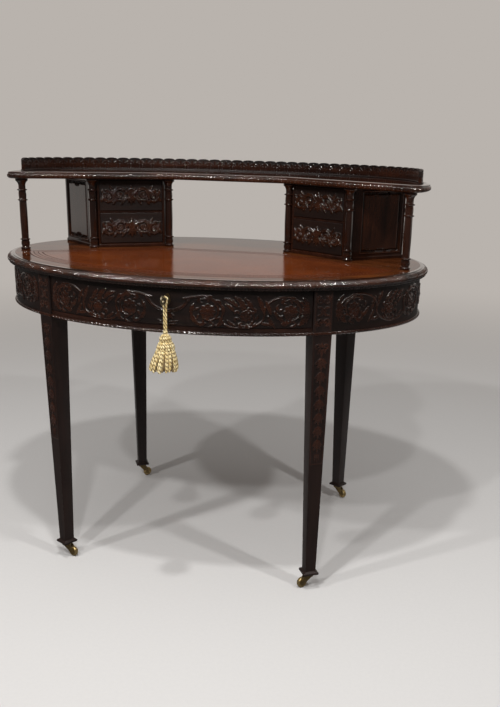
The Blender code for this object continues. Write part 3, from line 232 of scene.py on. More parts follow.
def old_leather():
    """Tan leather with a French polish: soft mottling, a fine crackle, and lines tooled round its border."""
    paint = Paint("tan_leather")
    x = paint.node("SeparateXYZ", {}, {0: paint.place}, "X")
    y = paint.other(x, "Y") - MIDDLE_Y
    a, b = HALF_WIDTH - TOP_MOULDING - LEATHER_BAND, HALF_DEPTH - TOP_MOULDING - LEATHER_BAND
    reach = ((x / a) ** 2.0 + (y / b) ** 2.0) ** 0.5
    slope = ((x * (1 / a ** 2)) ** 2.0 + (y * (1 / b ** 2)) ** 2.0) ** 0.5
    from_oval = (1.0 - reach) * reach / slope.most(0.001)
    start = wing_point(1, 0.0, -LEATHER_BAND)
    from_back = wing_point(1, INNER_COLUMN, 0.0)[1] - LEATHER_BAND - MIDDLE_Y - y
    across = (x.size() - start[0]) * sin(WING_ANGLE) + (y - (start[1] - MIDDLE_Y)) * cos(WING_ANGLE)
    border = from_oval.least(from_back).least(across * -1.0)
    stamp = ((x * 420.0).wave() * (y * 420.0).wave()).ramp(0.1, 0.6)
    lines = stamp * 0.6 * (1.0 - (border - 0.0172).size().ramp(0.0014, 0.0024))
    for place, width in ((0.0018, 0.0022), (0.012, 0.0015), (0.0225, 0.0015), (0.033, 0.002)):
        lines = lines.most(1.0 - (border - place).size().ramp(width * 0.5, width))
    fine = paint.noise(60.0, 4.0, 0.6)
    tone = paint.noise(7.0, 5.0, 0.6, 0.4) * 0.7 + fine * 0.3
    tan, orange, pale = (0.072, 0.0155, 0.0036), (0.124, 0.028, 0.0062), (0.18, 0.048, 0.012)
    colour = paint.colours(tone, (0.3, tan), (0.55, orange), (0.78, pale))
    colour = paint.mix((1.0 - border.ramp(0.0, 0.05)) * 0.25, colour, (0.075, 0.018, 0.006))
    colour = paint.mix(lines * 0.9, colour, (0.026, 0.007, 0.004))
    cells = paint.node("TexVoronoi", {"feature": "DISTANCE_TO_EDGE"}, {"Vector": paint.place, "Scale": 520.0})
    height = cells.ramp(0.0, 0.2) * 0.4 + fine * 0.5 - lines * 2.2
    return paint.done(
        Base_Color=colour, Roughness=0.11 + fine * 0.06 + lines * 0.34, Coat_Weight=(1.0 - lines) * 0.03,
        Coat_Roughness=0.05, IOR=1.5, Specular_IOR_Level=0.16, Normal=paint.bump(height, 0.08, 0.0005),
    )


def brass(name, dull, bright, rough):
    """Old brass: worn bright where it is touched, brown where it is not, with fine scratches."""
    paint = Paint(name)
    stain = paint.noise(95.0, 5.0, 0.65, 0.5)
    scratch = paint.noise(900.0, 2.0, 0.5, where=paint.stretched((1.0, 0.15, 1.0)))
    return paint.done(
        Base_Color=paint.colours(stain, (0.36, dull), (0.6, bright)),
        Metallic=1.0 - stain.ramp(0.62, 0.3) * 0.35, Roughness=rough + stain * 0.2,
        Normal=paint.bump(scratch * 0.4 + stain * 0.6, 0.25, 0.0003),
    )


def lining_wood():
    """Plain, waxed drawer wood: paler than the show wood and dry to look at."""
    paint = Paint("drawer_lining_wood")
    along = paint.stretched((60.0, 9.0, 60.0))
    figure = paint.noise(2.2, 5.0, 0.6, 0.5, where=along)
    pores = paint.noise(9.0, 4.0, 0.6, where=along)
    colour = paint.colours(figure, (0.32, (0.13, 0.06, 0.026)), (0.68, (0.255, 0.135, 0.062)))
    colour = paint.mix(pores.ramp(0.55, 0.72) * 0.5, colour, (0.07, 0.03, 0.014))
    return paint.done(
        Base_Color=colour, Roughness=0.55 + pores * 0.15, Normal=paint.bump(pores, 0.25, 0.0004)
    )


def silk():
    """Straw silk cord: two plies that twist round it, pale on their tops, with painted shade in brown between
    them.
    """
    paint = Paint("straw_silk")
    ply = (paint.attribute("twist") * (2 * pi)).wave() * 0.5 + 0.5
    fibres = paint.noise(1500.0, 2.0, 0.5)
    colour = paint.colours(
        paint.noise(140.0, 3.0, 0.6), (0.34, (0.55, 0.38, 0.12)), (0.64, (0.98, 0.85, 0.5))
    )
    # Painted shade: brown in the grooves between the plies
    colour = paint.mix((1.0 - ply).ramp(0.4, 1.0) * 0.92, colour, (0.095, 0.045, 0.009))
    return paint.done(
        Base_Color=colour, Roughness=0.6 + fibres * 0.12, Sheen_Weight=0.15, Sheen_Roughness=0.4,
        Normal=paint.bump(ply * 1.5 + fibres * 0.4, 0.5, 0.0006),
    )


def unit(values):
    """Values held between 0 and 1."""
    return np.clip(values, 0.0, 1.0)


def hump(values, width):
    """A smooth hump, one high at 0: e to the power of minus the square of the value over the width."""
    return np.exp(-(values / width) ** 2)


def dome(values):
    """A round dome, one high at 0 and gone at 1: the root of one minus the square."""
    return np.sqrt(np.clip(1.0 - np.square(values), 0.0, None))


def ripple(values):
    """A rectified sine: 0 at whole values, 1 halfway between them."""
    return np.abs(np.sin(pi * values))


def direction(angle):
    """The cosine and the sine of an angle, or of each of many."""
    return np.stack([np.cos(angle), np.sin(angle)], -1)


def one_long(ways):
    """Directions made one long."""
    return ways / np.linalg.norm(ways, axis=-1, keepdims=True)


def distances(line):
    """How far along a line each of its points lies."""
    return np.concatenate([[0.0], np.cumsum(np.linalg.norm(np.diff(line, axis=0), axis=1))])


def raised(plan, levels):
    """Plan points put at a level, or each at its own."""
    levels = np.broadcast_to(levels, plan.shape[:-1])
    return np.concatenate([plan, levels[..., None]], -1)


def resampled(line, count):
    """Places on a line at even shares of its number of points."""
    runs, fine = np.linspace(0, 1, len(line)), np.linspace(0, 1, count)
    return np.stack([np.interp(fine, runs, column) for column in np.array(line).T], -1)


def smooth_line(places, steps):
    """A Catmull-Rom line through places, in steps between each two."""
    places = np.asarray(places, float)
    padded = np.concatenate([2 * places[:1] - places[1:2], places, 2 * places[-1:] - places[-2:-1]])
    share = (np.arange(steps) / steps)[:, None]
    runs = []
    for before, start, end, after in zip(padded[:-3], padded[1:-2], padded[2:-1], padded[3:]):
        runs.append(0.5 * (
            2 * start + (end - before) * share + (2 * before - 5 * start + 4 * end - after) * share ** 2
            + (3 * start - before - 3 * end + after) * share ** 3
        ))
    return np.concatenate(runs + [places[-1:]])


def oval(inset, angle):
    """Plan points of the top's oval, moved in: half width times cosine, half depth times sine."""
    return np.array([0.0, MIDDLE_Y]) + direction(angle) * (HALF_WIDTH - inset, HALF_DEPTH - inset)


def outward(inset, angle):
    """That oval's outward direction at an angle: its gradient, made one long."""
    return one_long(direction(angle) / (HALF_WIDTH - inset, HALF_DEPTH - inset))


def oval_run(inset, start, end, step):
    """Even steps round that oval: plan points, outward directions and distances from the first."""
    fine = np.linspace(start, end, 4000)
    run = distances(oval(inset, fine))
    along = np.linspace(0.0, run[-1], max(int(round(run[-1] / step)), 4) + 1)
    angles = np.interp(along, run, fine)
    return oval(inset, angles), outward(inset, angles), along


def wing_point(side, along, back):
    """Plan points on a wing: along its line of columns from the outer one, and back from that line."""
    x = HALF_WIDTH - OUTER_COLUMN_INSET - along * cos(WING_ANGLE) + back * sin(WING_ANGLE)
    y = along * sin(WING_ANGLE) + back * cos(WING_ANGLE) - OUTER_COLUMN_FORWARD
    return np.stack([side * x, MIDDLE_Y + y], -1)


def side_place(side, along, out):
    """Plan points on a pedestal's outer side: along it from the middle column, and out from it."""
    turn = PEDESTAL_SIDE_ANGLE
    return wing_point(
        side, MIDDLE_COLUMN + along * cos(turn) - out * sin(turn), along * sin(turn) + out * cos(turn)
    )


def leg_frame(name):
    """A leg's centre on the floor, its own X along the oval and its way out, in plan."""
    out = outward(OVERHANG, LEG_ANGLES[name])
    centre = oval(OVERHANG, LEG_ANGLES[name]) - out * (LEG_TOP / 2 - LEG_PROUD)
    return centre, np.array([-out[1], out[0]]), out


def frieze_run(first, last, play, step):
    """The frieze's face, as oval_run, from one leg's side plane to the next leg's, with play at each."""
    ends = []
    for name, way in ((first, 1), (last, -1)):
        centre, along, _ = leg_frame(name)
        angles = LEG_ANGLES[name] + way * np.linspace(0.0, radians(25), 2000)
        reach = ((oval(OVERHANG, angles) - centre) @ along) * way
        ends.append(float(np.interp(LEG_TOP / 2 + play, reach, angles)))
    start, end = ends
    return oval_run(OVERHANG, start, end + 2 * pi * (end < start), step)


def grid_faces(rows, columns, wrap_rows=False, wrap_columns=False):
    """Four-cornered faces over a grid of points, row by row, closed on itself where it wraps."""
    row = np.arange(rows if wrap_rows else rows - 1)[:, None]
    column = np.arange(columns if wrap_columns else columns - 1)[None, :]
    next_row, next_column = (row + 1) % rows, (column + 1) % columns
    corners = (
        row * columns + column, row * columns + next_column,
        next_row * columns + next_column, next_row * columns + column,
    )
    return np.stack(corners, -1).reshape(-1, 4)


def shell(rings, closed=False, back=False):
    """Faces over closed rings, with the end rings as caps unless the rows close too; back turns all over."""
    rows, count = rings.shape[:2]
    faces = grid_faces(rows, count, closed, True)
    caps = [] if closed else [np.arange(count)[::-1], (rows - 1) * count + np.arange(count)]
    return (faces[:, ::-1], [cap[::-1] for cap in caps]) if back else (faces, caps)


def piece(name, body, material, slot, points, faces, caps=(), smooth=None, node=None, **fields):
    """One new piece from points and faces, riding on a body: caps are loops of points to close.

    Its first faces, smooth in number, are shaded smooth: all but the caps, if no number is given.
    """
    mesh = bpy.data.meshes.new(name)
    loops = [list(map(int, loop)) for loop in caps]
    mesh.from_pydata(np.reshape(points, (-1, 3)).tolist(), [], np.asarray(faces).tolist() + loops)
    flags = np.arange(len(mesh.polygons)) < (len(faces) if smooth is None else smooth)
    mesh.polygons.foreach_set("use_smooth", flags)
    for field, values in fields.items():
        mesh.attributes.new(field, "FLOAT", "POINT").data.foreach_set("value", np.ravel(values))
    mesh.materials.append(material)
    made = bpy.data.objects.new(name, mesh)
    bpy.context.scene.collection.objects.link(made)
    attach(made, body)
    if node:
        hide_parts(node)
    return made


class Carving:
    """Low relief on a flat panel: the height over each point is the highest of all strokes there."""

    def __init__(self, across, up, height=None):
        self.across, self.up = across, up
        self.height = np.zeros(across.shape) if height is None else height

    def mirrored(self):
        """The same relief, on which each stroke also falls on the other side of the middle."""
        return Carving(np.abs(self.across), self.up, self.height)

    def stroke(self, line, widths, rise, vein=0.0, lobes=0):
        """A ridge along a line of points: round across, as wide as widths say, with a groove down its middle.

        Lobes cut its sides into that many leaflets, whose tips lean forward.
        """
        line, widths = np.asarray(line, float), np.asarray(widths, float)
        reach = widths.max() * 1.1
        low, high = line.min(0) - reach, line.max(0) + reach
        near = (self.across > low[0]) & (self.across < high[0]) & (self.up > low[1]) & (self.up < high[1])
        if not near.any():
            return
        points = np.stack([self.across[near], self.up[near]], -1)[:, None, :]
        start, run = line[None, :-1], (line[1:] - line[:-1])[None]
        share = unit(((points - start) * run).sum(-1) / (run ** 2).sum(-1).clip(1e-12))
        apart = np.linalg.norm(points - start - run * share[..., None], axis=-1)
        nearest = apart.argmin(1)
        rows = np.arange(len(nearest))
        off = apart[rows, nearest]
        along = (nearest + share[rows, nearest]) / (len(line) - 1)
        width = np.interp(along, np.linspace(0.0, 1.0, len(widths)), widths)
        side = off / width.clip(1e-5)
        if lobes:
            leaning = (along * lobes - 0.55 * side) % 1.0
            width = width * (0.62 + 0.38 * np.sqrt(np.sin(pi * leaning).clip(0.0)))
            side = off / width.clip(1e-5)
        ridge = dome(side) * (1.0 - vein * hump(side, 0.22))
        if lobes:
            ridge *= 0.72 + 0.28 * np.sin(pi * leaning)
        self.height[near] = np.maximum(self.height[near], rise * ridge)

    def leaf(self, root, heading, length, width, bend=0.0, rise=0.0022, lobes=4):
        """An acanthus leaf: an arc that turns by bend from root to tip, widest a third of the way."""
        steps = np.linspace(0.0, 1.0, 9)
        line = np.cumsum(direction(heading + bend * steps) * length / 8, axis=0)
        widths = width * np.sin(pi * (0.12 + 0.86 * steps)) ** 0.75
        self.stroke(np.asarray(root) + line - line[0], widths, rise, 0.55, lobes)

    def scroll(self, centre, radius, start, turns, width=0.003, rise=0.0026):
        """A stem that winds inwards: its radius falls evenly with its angle to a third."""
        steps = np.linspace(0.0, 1.0, int(22 * abs(turns)) + 2)
        spokes = direction(start + 2 * pi * turns * steps) * (radius * (1.0 - 0.66 * steps))[:, None]
        self.stroke(np.asarray(centre) + spokes, width * (1.0 - 0.35 * steps), rise)

    def rosette(self, centre, radius, petals=6, rise=0.003, turn=0.0):
        """Round petals about a button: the edge swells and sinks with the angle."""
        x, y = self.across - centre[0], self.up - centre[1]
        far, lobe = np.hypot(x, y), np.abs(np.cos((np.arctan2(y, x) + turn) * petals / 2))
        petal = dome(far / (radius * (0.8 + 0.2 * lobe))) * (0.62 + 0.38 * lobe)
        hollow = 1.0 - 0.75 * hump(far - radius * 0.42, radius * 0.1)
        flower = np.maximum(petal * hollow, dome(far / (radius * 0.32)))
        np.maximum(self.height, rise * flower, out=self.height)

    def curve(self, *places, width=0.0026, rise=0.0024, taper=0.5):
        """A stem through places, smoothed by a Catmull-Rom line."""
        line = smooth_line(places, 7)
        self.stroke(line, width * (1.0 - taper * np.linspace(0.0, 1.0, len(line))), rise)


def make_camera():
    """The camera, at the place and angle worked out from the photograph, which is 500 by 707 pixels."""
    place = Vector((0.5689, -2.00025, 1.0463))
    yaw, pitch, roll = -0.2042, -0.3077, 0.0244
    wide, tall = 500, 707
    focal, centre_x, centre_y = 808.2, 269.2, 396.2
    ahead = Vector((sin(yaw) * cos(pitch), cos(yaw) * cos(pitch), sin(pitch)))
    level = Vector((cos(yaw), -sin(yaw), 0.0))
    above = level.cross(ahead)
    across = level * cos(roll) + above * sin(roll)
    up = above * cos(roll) - level * sin(roll)
    data = bpy.data.cameras.new("camera")
    data.sensor_width = 36.0
    data.lens = focal / tall * data.sensor_width
    data.shift_x, data.shift_y = (wide / 2 - centre_x) / tall, (centre_y - tall / 2) / tall
    data.clip_start, data.clip_end = 0.05, 60.0
    camera = bpy.data.objects.new("camera", data)
    camera.matrix_world = Matrix.Translation(place) @ Matrix((across, up, -ahead)).transposed().to_4x4()
    bpy.context.scene.collection.objects.link(camera)
    bpy.context.scene.camera = camera


def cord_tube(line, radius, turns_per_metre=110.0, sides=10):
    """Rings round a line, each square to it, in a frame without twist, and the twist of the plies there.

    The twist grows evenly along the line, and by two round each ring.
    """
    line = np.asarray(line, float)
    ways = one_long(np.gradient(line, axis=0))
    side = np.cross(ways[0], (0.0, 0.0, 1.0) if abs(ways[0][2]) < 0.9 else (0.0, 1.0, 0.0))
    first = np.empty_like(line)
    for station, way in enumerate(ways):
        side = one_long(side - way * side.dot(way))
        first[station] = side
    second = np.cross(ways, first)
    angles = 2 * pi * np.arange(sides) / sides
    twist = distances(line)[:, None] * turns_per_metre + angles[None] / pi
    reach = np.broadcast_to(radius, (len(line),))[:, None, None]
    spokes = first[:, None] * np.cos(angles)[None, :, None] + second[:, None] * np.sin(angles)[None, :, None]
    return line[:, None] + reach * spokes, twist


def make_cord(material):
    """The tassel's cord: up from the knot, round the far side of the key's neck and down again."""
    loop = 0.003 + SKIN + CORD_RADIUS
    strand = CORD_RADIUS + SKIN / 2
    left = [
        (-(strand + (loop - strand) * out), KEY_HEIGHT - (KEY_HEIGHT - KNOT_TOP - SKIN) * down)
        for out, down in ((1.0, 0.0), (0.45, 0.14), (0.08, 0.34), (0.0, 0.62), (0.0, 1.0))
    ]
    turns = [pi - pi * step / 5 for step in range(1, 5)]
    over = [(loop * cos(turn), KEY_HEIGHT + loop * sin(turn)) for turn in turns]
    inside = [(0.0018, KNOT_TOP - 0.006), (0.0012, KNOT_TOP - 0.014), (0.0006, KNOT_TOP - 0.022)]
    route = np.concatenate([
        smooth_line(left[::-1], 4), over, smooth_line([(-x, z) for x, z in left] + inside, 4)
    ])
    line = np.insert(route, 1, CORD_Y, axis=1)
    rings, twist = cord_tube(line, CORD_RADIUS, sides=14)
    made = piece(
        "tassel_loop", "hanging_tassel", material, "tassel_silk", rings, *shell(rings), node="tassel_cord",
        twist=twist,
    )
    return made, line, float(distances(line)[-1])


def make_tassel(material):
    """The tassel: a knot, a domed head and a collar of short loops, and a skirt of thick twisted cords.

    Every cord runs down the bell at its own angle and swings a little further round the lower it is.
    The skirt's cords gather in bunches, lean to the left, and hang over inner ones painted darker, as shade.
    """
    knot_low = KNOT_TOP - KNOT_HEIGHT
    radius, height = 0.0345, 0.0835
    points, faces, caps, twists = [], [], [], []
    rng = np.random.default_rng(11)
    centre = np.array([0.0, CORD_Y, knot_low])

    def add(rings, twist, back=False):
        count = sum(map(len, points))
        quads, ends = shell(rings, back=back)
        points.append(rings.reshape(-1, 3))
        faces.append(quads + count)
        caps.extend([end + count for end in ends])
        twists.append(np.ravel(twist))

    def bell(down, out, angle):
        """A point at a share of the tassel's height and of its radius, at an angle."""
        return centre + np.stack(np.broadcast_arrays(
            out * radius * np.sin(angle), -out * radius * np.cos(angle), -np.asarray(down) * height
        ), -1)

    turn = np.linspace(0.0, 2 * pi, 28)
    for level, spread in ((0.002, 0.003), (0.0048, 0.0037), (0.0076, 0.0029)):
        ring = raised(spread * direction(turn), level + 0.0007 * np.sin(2 * turn))
        add(*cord_tube(centre + ring, 0.0018, 150.0, 8))
    profile = np.array([
        (0.02, 0.975), (0.30, 0.965), (0.62, 0.93), (0.74, 0.80), (0.60, 0.62), (0.46, 0.47), (0.34, 0.42),
        (0.42, 0.36), (0.30, 0.25), (0.24, 0.20), (0.30, 0.14), (0.22, 0.05), (0.08, 0.0), (0.02, -0.03),
    ])[::-1, :, None]
    core = bell(profile[:, 1], profile[:, 0], 2 * pi * np.arange(24) / 24)
    # Painted shade: the core's fixed twist of 0.75 puts it wholly in the silk's brown, as the shade inside
    # the tassel
    add(core, np.full(core.shape[:2], 0.75), back=True)

    tiers = (
        ((-0.01, 0.03, 0.10, 0.175, 0.20), (0.05, 0.22, 0.325, 0.33, 0.27), 14, 0.0023, 0.05),
        ((0.19, 0.225, 0.29, 0.37, 0.40), (0.24, 0.37, 0.47, 0.52, 0.46), 19, 0.0027, 0.12),
    )
    for downs, outs, strands, width, swing in tiers:
        for strand in range(strands):
            angle = 2 * pi * strand / strands + rng.uniform(-0.05, 0.05)
            places = bell(downs, np.array(outs) * rng.uniform(0.95, 1.04), angle + np.linspace(0, swing, 5))
            add(*cord_tube(smooth_line(places, 4), width * rng.uniform(0.9, 1.1), 150.0, 8))

    def hang(downs, outs, angles):
        """A cord's line down the bell, leaning to the left the more the lower it is."""
        places = bell(downs, np.array(outs), angles)
        places[:, 0] -= 0.005 * unit((downs - 0.4) / 0.56) ** 1.3
        return smooth_line(places, 5)

    for strand in range(34):
        angle = 2 * pi * strand / 34 + rng.uniform(-0.05, 0.05)
        bunch = 2 * pi * round(angle / (2 * pi) * 9) / 9
        sway = (bunch - angle) * rng.uniform(0.30, 0.55) + rng.uniform(-0.07, 0.07)
        lift, puff = rng.uniform(-0.045, 0.0), rng.uniform(0.88, 1.0)
        downs = np.array([0.395, 0.44, 0.54, 0.68, 0.84, 0.965 + lift])
        outs = np.array([0.4, 0.545, 0.65, 0.77, 0.87, 0.905]) * puff
        line = hang(downs, outs, angle + sway * np.linspace(0, 1, 6))
        run = np.linspace(0, 1, len(line))
        widths = np.interp(run, (0.0, 0.15, 0.9, 1.0), (0.0024, 0.0027, 0.0027, 0.0021))
        add(*cord_tube(line, widths * rng.uniform(0.85, 1.08), 120.0, 8))
    for strand in range(18):
        angle = 2 * pi * (strand + 0.5) / 18 + rng.uniform(-0.12, 0.12)
        downs = np.array([0.42, 0.58, 0.76, 0.965 + rng.uniform(-0.05, 0.0)])
        line = hang(downs, (0.42, 0.56, 0.68, 0.76), angle + rng.uniform(-0.2, 0.2))
        rings, twist = cord_tube(line, 0.003, sides=7)
        # Painted shade: a fixed twist of 0.62 puts these inner cords mostly in the silk's brown, as shade
        # under the skirt
        add(rings, np.full_like(twist, 0.62))
    return piece(
        "tassel_strands", "hanging_tassel", material, "tassel_silk", np.concatenate(points),
        np.concatenate(faces), caps, node="tassel", twist=np.concatenate(twists),
    )


def slab(name, body, material, slot, plan, levels, back, height, node=None, flip=False):
    """A closed thin slab: a carved front, edges that turn back into the wood, and a plain back.

    plan is the front's plan points, a row for each level from the bottom up; back is the back's line.
    """
    if flip:
        plan, back, height = plan[:, ::-1], back[::-1], height[:, ::-1]
    rows, columns = plan.shape[:2]
    points = np.concatenate([
        raised(plan, levels[:, None]).reshape(-1, 3), raised(back, levels[0]), raised(back, levels[-1])
    ])
    low, high, top = rows * columns, rows * columns + columns, (rows - 1) * columns
    this, after = np.arange(columns - 1), np.arange(1, columns)
    faces = np.concatenate([
        grid_faces(rows, columns),
        np.stack([after, this, low + this, low + after], -1),
        np.stack([top + this, top + after, high + after, high + this], -1),
        np.stack([low + after, low + this, high + this, high + after], -1),
    ])
    edge = np.arange(rows) * columns
    caps = (np.append(edge, (high, low)), np.append(edge[::-1] + columns - 1, (high - 1, high + columns - 1)))
    # The height attribute: the front's height, or the tone given for it, as a share of its highest; the
    # carved woods darken where it is low, as dirt and painted shade, and the edges and back at 0 go dark
    tone = np.append(height / max(height.max(), 1e-6), np.zeros(2 * columns))
    piece(name, body, material, slot, points, faces, caps, (rows - 1) * (columns - 1), node, height=tone)


def frieze_panel(name, first, last, play, low, high, body, material, carve, step=0.0011):
    """A carved skin over the frieze between two legs: the oval's face, raised along its outward way."""
    plan, out, along = frieze_run(first, last, play, step)
    levels = np.linspace(low, high, int(round((high - low) / step)) + 1)
    carving = Carving(*np.meshgrid(along - along[-1] / 2, levels))
    carve(carving, along[-1] / 2, (low + high) / 2)
    front = plan + out * (carving.height + SKIN)[..., None]
    slab(name, body, material, "carved_mahogany", front, levels, plan - out * SKIN_BACK, carving.height)


RINCEAU_TURNS = ((0.28, 0.0, 0.0305, 1), (0.54, -0.009, 0.0225, -1), (0.845, 0.001, 0.0285, 1))
RINCEAU_STEM = (
    (0.19, 0.031), (0.28, 0.0325), (0.385, 0.01), (0.375, -0.02), (0.45, -0.0335), (0.56, -0.0335),
    (0.655, -0.016), (0.67, 0.012), (0.74, 0.03), (0.845, 0.0325), (0.945, 0.012), (0.945, -0.016),
)
RINCEAU_LEAVES = (
    (0.4, 0.029, -0.1, 0.034, 0.0056, -0.9), (0.405, 0.018, -0.35, 0.026, 0.0044, -0.8),
    (0.47, 0.033, -0.55, 0.036, 0.006, -0.6), (0.535, 0.03, -0.7, 0.03, 0.0052, -0.5),
    (0.415, -0.018, -1.0, 0.022, 0.0042, 0.8), (0.335, -0.03, 0.1, 0.022, 0.004, 0.9),
    (0.62, 0.033, -0.95, 0.036, 0.0056, -0.5), (0.675, 0.024, -1.05, 0.032, 0.0052, -0.3),
    (0.69, -0.008, -1.25, 0.03, 0.005, 0.4), (0.735, 0.002, -1.1, 0.034, 0.0052, 0.5),
    (0.64, -0.022, -0.4, 0.026, 0.0044, 0.4), (0.785, -0.024, -0.15, 0.026, 0.0044, 0.9),
    (0.93, 0.031, -0.75, 0.03, 0.0052, -0.6), (0.955, 0.014, -1.2, 0.03, 0.0048, -0.3),
    (0.9, -0.028, 0.25, 0.022, 0.0042, 0.8), (0.17, 0.012, -1.9, 0.026, 0.004, 0.7),
    (0.165, -0.01, -1.3, 0.024, 0.0042, 1.0), (0.2, -0.026, -0.3, 0.022, 0.0038, 0.6),
)


def rinceau(carving, half, middle, start):
    """A scrolling border, mirrored about the panel's centre: a wave of stem with a flower in each turn.

    Each turn is a ring of stem round a flower, veined leaves lie slantwise over it and between the turns, and
    a fan of leaves ends it. Places along are shares of the half's length.
    """
    def at(share, up):
        return np.array([share * half, middle + up])

    both = carving.mirrored()
    both.curve(*[at(*place) for place in (start, *RINCEAU_STEM)], width=0.0024, taper=0.1)
    for share, up, radius, way in RINCEAU_TURNS:
        centre = at(share, up)
        both.scroll(centre, radius, way * pi * 0.75, -way * 1.05, 0.0021, 0.0024)
        both.rosette(centre, radius * 0.6, 8, 0.0031)
        both.rosette(centre, radius * 0.34, 5, 0.0036, 0.4)
        for leaf in range(9):
            heading = way * (pi * 0.75 - leaf * 0.7)
            spoke = direction(heading) * radius
            both.leaf(centre + spoke, heading - way * 0.85, radius * 0.5, 0.0033, -way * 1.2, 0.0025, 2)
            both.leaf(centre + spoke * 0.9, heading + pi + way, radius * 0.34, 0.0024, -way * 0.8, lobes=0)
    for share, up, heading, long, wide, bend in RINCEAU_LEAVES:
        both.leaf(at(share, up), heading, long, wide, bend, 0.0026)
    for fan in range(-3, 4):
        both.leaf(at(0.975, -0.004), pi + fan * 0.34, 0.022, 0.0032, fan * 0.15, 0.0023, 0)


def carve_drawer(carving, half, middle):
    """The drawer: a swag from under the keyhole and three flowered turns to each side."""
    rinceau(carving, half, middle - 0.006, (0.115, 0.026))
    both = carving.mirrored()
    for drop, width in ((0.0, 0.0019), (0.004, 0.0012)):
        swag = ((0.0, 0.69), (0.016, 0.6915), (0.033, 0.6995), (0.045, 0.7125))
        both.curve(*[(x, z - drop) for x, z in swag], width=width, rise=0.0026, taper=0.0)
    both.rosette((0.0465, 0.714), 0.0046, 5)
    for up, long in ((0.664, 0.021), (0.658, 0.017)):
        both.leaf((0.0035, up), 0.0, long, 0.0022, 0.25, 0.0018, 0)
    for heading, long, bend in ((-pi / 2, 0.0208, 0.0), (-1.05, 0.0176, 0.35), (-0.6, 0.016, 0.35)):
        both.leaf((0.0, 0.6845), heading, long, 0.0034, bend, lobes=3)
    plate = np.hypot(carving.across / 0.0105, (carving.up - KEY_HEIGHT + 0.002) / 0.017)
    carving.height *= unit((plate - 1.0) / 0.25)


def carve_frieze(carving, half, middle):
    """A fixed frieze: a flower at its centre with leaves round it, and three turns to each side."""
    middle += 0.001
    rinceau(carving, half, middle, (0.03, -0.004))
    carving.rosette((0.0, middle), 0.0165, 8)
    carving.rosette((0.0, middle), 0.0085, 5, 0.0036)
    for way in (-1, 1):
        for up_way in (-1, 1):
            for lean in (0.3, 0.75, 1.2):
                heading = up_way * (pi / 2 - way * (pi / 2 - lean))
                carving.leaf((way * 0.011, middle), heading, 0.024, 0.0042, up_way * way * 0.5, 0.0026, 3)


def gadroon_strip(name, plan, out, along, proud, material):
    """A half-round strip cut into slanted beads: its swell rises and falls along it, later the higher up.

    plan and out are the face's plan points and outward ways, along the distances.
    """
    low, tall = FRIEZE_LOW - 0.0002, BEAD_HEIGHT + 0.0006
    turns = np.linspace(0.0, pi, 11)
    swell = ripple(along[:, None] / BEAD_PITCH + 0.35 * np.cos(turns)) ** 0.75
    depth = SKIN + proud * np.sin(turns) * (0.15 + 0.85 * swell)
    front = raised(plan[:, None] + out[:, None] * depth[..., None], low + tall / 2 * (1.0 + np.cos(turns)))
    back = (plan - out * BEAD_BACK)[:, None]
    rings = np.concatenate([front, raised(back, low), raised(back, low + tall)], 1)
    # Painted shade: the tone goes dark between the beads and along the strip's top and bottom edges
    dirt_and_shade_tone = np.pad(np.sin(turns) * swell, ((0, 0), (0, 2)))
    piece(name, "desk", material, "carved_mahogany", rings, *shell(rings), height=dirt_and_shade_tone)


def make_beads(material):
    """The row of beads along the frieze's lower edge, on each frieze, on the rail and on each leg."""
    for name, first, last in FRIEZE_ENDS:
        plan, out, along = frieze_run(first, last, SKIN, 0.001)
        gadroon_strip(f"{name}_bead", plan, out, along, BEAD_PROUD / 0.75, material)
    for name in LEG_ANGLES:
        centre, side, out = leg_frame(name)
        along = np.linspace(-LEG_TOP / 2, LEG_TOP / 2, 46)
        plan = centre + out * LEG_TOP / 2 + side * along[:, None]
        outs = np.broadcast_to(out, plan.shape)
        gadroon_strip(f"leg_bead_{name}", plan, outs, along + LEG_TOP / 2, LEG_BEAD_PROUD, material)


